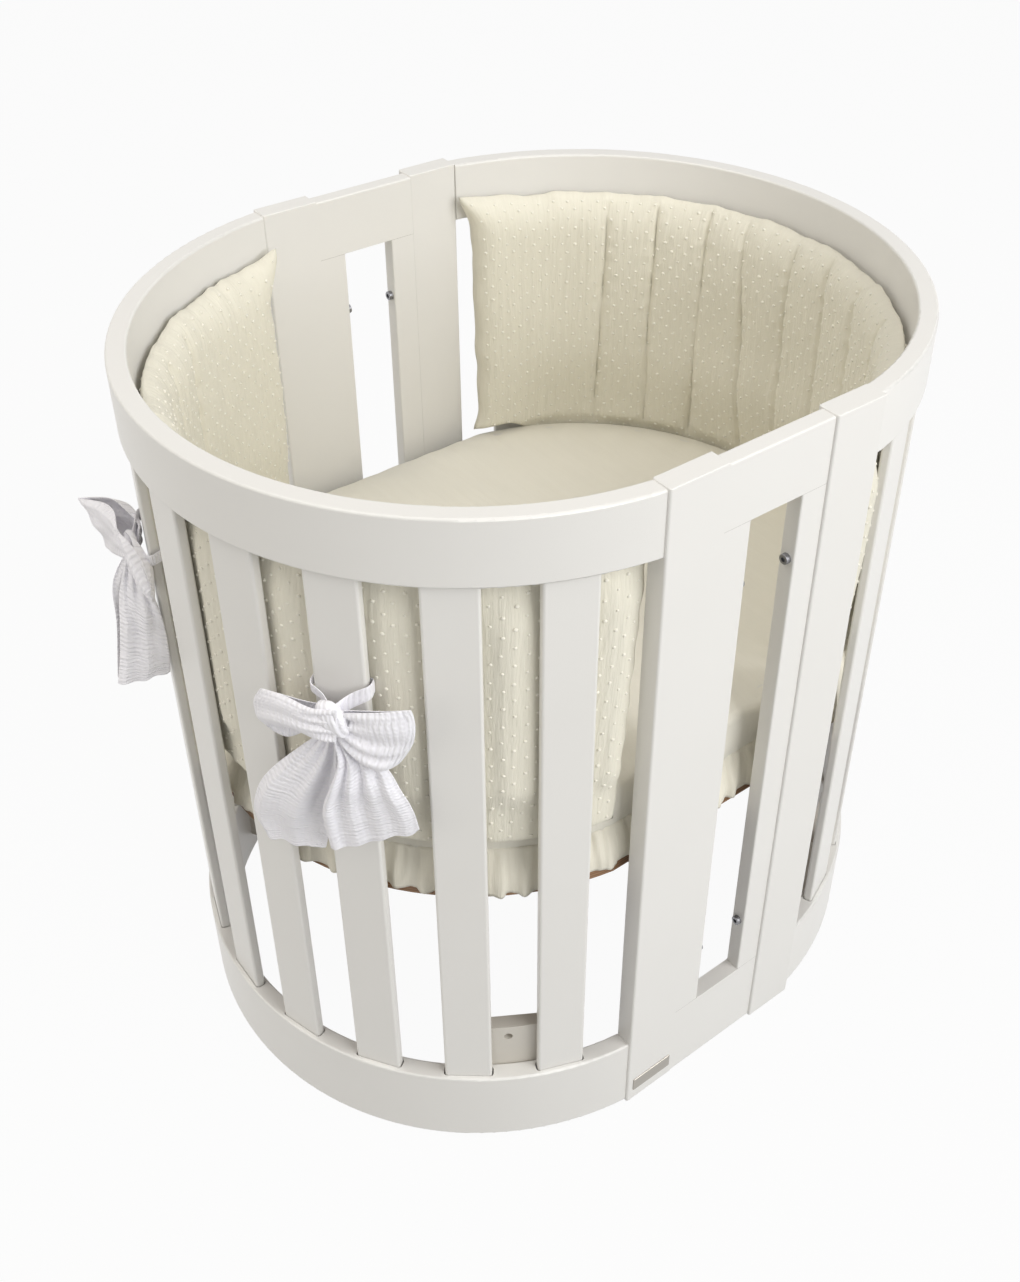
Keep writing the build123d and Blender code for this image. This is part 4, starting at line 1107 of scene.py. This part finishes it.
def tie_bow(name, angle, seed, ribbons, knot, tie):
    """Build the cloths of one bow in the frame of its slat."""
    for part, form, grid, flat, held in bow_cloths(seed, ribbons, knot, tie):
        cloth = cloth_grid(f"{name}_{part}", *grid)
        lay(cloth, on_slat(angle, form), *flat)
        finish_mesh(cloth)
        thicken(cloth, GAUZE_T, levels=1)
        dress(cloth, "frame", MUSLIN)
        if part == "knot":
            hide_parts(name)


tie_bow("front_bow", 2 * SLAT_STEP, 91, FRONT_BOW, FRONT_KNOT, FRONT_TIE)
tie_bow("side_bow", -SLAT_STEP, 131, SIDE_BOW, SIDE_KNOT, SIDE_TIE)

# %% [markdown]
# ## Floor, light and camera
# The backdrop is white paper. Rays that show it see it white, while rays that light the crib meet a
# duller paper and a dimmer sky, so that the crib isn't washed out.

# %% Floor and sky
FLOOR_GLOW = 0.95
SKY_LIGHT = 0.34


def shows_backdrop(tree):
    """1 for rays that show the backdrop itself, and 0 for those that light the crib."""
    rays = add(tree, "LightPath").outputs
    seen = combine(tree, "MAXIMUM", rays["Is Camera Ray"], rays["Is Glossy Ray"])
    return combine(tree, "MAXIMUM", seen, rays["Is Transmission Ray"])


bpy.ops.mesh.primitive_plane_add(size=16, location=(0, 0, 0))
floor = bpy.context.object
floor.name = "floor"
paper, tree, shader = new_finish("floor_paper", (0.48, 0.48, 0.475), 0.9)
glow = add(tree, "Emission", Color=(1, 1, 1, 1), Strength=1.0).outputs[0]
share = combine(tree, "MULTIPLY", shows_backdrop(tree), FLOOR_GLOW)
blend = add(tree, "MixShader", i0=share, i1=shader.outputs[0], i2=glow)
tree.links.new(blend.outputs[0], tree.nodes["Material Output"].inputs["Surface"])
floor.data.materials.append(paper)

world = bpy.data.worlds.new("sky")
world.use_nodes = True
sky = world.node_tree
seen = shows_backdrop(sky)
level = add(sky, "MapRange", Value=seen, To_Min=SKY_LIGHT, To_Max=1.0)
sky.links.new(level.outputs[0], sky.nodes["Background"].inputs["Strength"])
sky.nodes["Background"].inputs["Color"].default_value = (1, 1, 1, 1)
bpy.context.scene.world = world
bpy.context.scene.view_settings.view_transform = "Standard"

# %% [markdown]
# Three large lamps give soft light: the key from the near side, and warmer ones above and in front.

# %% Light
LIT = Vector((0, 0, 0.45))  # where the lamps point


def lamp(name, place, size, power, color=(1, 1, 1)):
    """A large square lamp that faces the crib."""
    data = bpy.data.lights.new(name, "AREA")
    data.size = size
    data.energy = power
    data.color = color
    light = new_object(name, data)
    light.location = place
    light.rotation_mode = "QUATERNION"
    light.rotation_quaternion = (LIT - Vector(place)).to_track_quat("-Z", "Y")


lamp("key", (0.6, -2.8, 2.2), 2.4, 82)
lamp("top", (-0.8, 0.3, 2.9), 2.4, 27, (1.0, 0.96, 0.90))
lamp("fill", (-2.7, 0.7, 0.9), 2.0, 18, (1.0, 0.95, 0.87))

# %% [markdown]
# The camera stands where the photograph was taken from, high over the front of the near side. Its
# place, turn and lens were solved from the rails, slats and posts.

# %% Camera
IMAGE = (1020, 1282)  # pixels of the photograph
FOCAL_PX = 1423.2
CENTRE_PX = (555.2, 538.1)  # where the optical axis meets the photograph
SENSOR = 36.0
CAMERA_PLACE = (-0.80716, -1.05095, 1.52209)
CAMERA_LOOK = (0.50428, 0.63211, -0.58834)
CAMERA_RIGHT = (0.78718, -0.61661, 0.01224)
camera_data = bpy.data.cameras.new("camera")
camera_data.sensor_width = SENSOR
camera_data.lens = FOCAL_PX * SENSOR / IMAGE[1]
camera_data.shift_x = (IMAGE[0] / 2 - CENTRE_PX[0]) / IMAGE[1]
camera_data.shift_y = (CENTRE_PX[1] - IMAGE[1] / 2) / IMAGE[1]
look = Vector(CAMERA_LOOK).normalized()
up = Vector(CAMERA_RIGHT).normalized().cross(look).normalized()
right = look.cross(up)
camera = new_object("camera", camera_data)
camera.location = CAMERA_PLACE
camera.rotation_mode = "QUATERNION"
turned = Matrix([(right[i], up[i], -look[i]) for i in range(3)])
camera.rotation_quaternion = turned.to_quaternion()
bpy.context.scene.camera = camera
print("camera", round(camera_data.lens, 2), "mm")
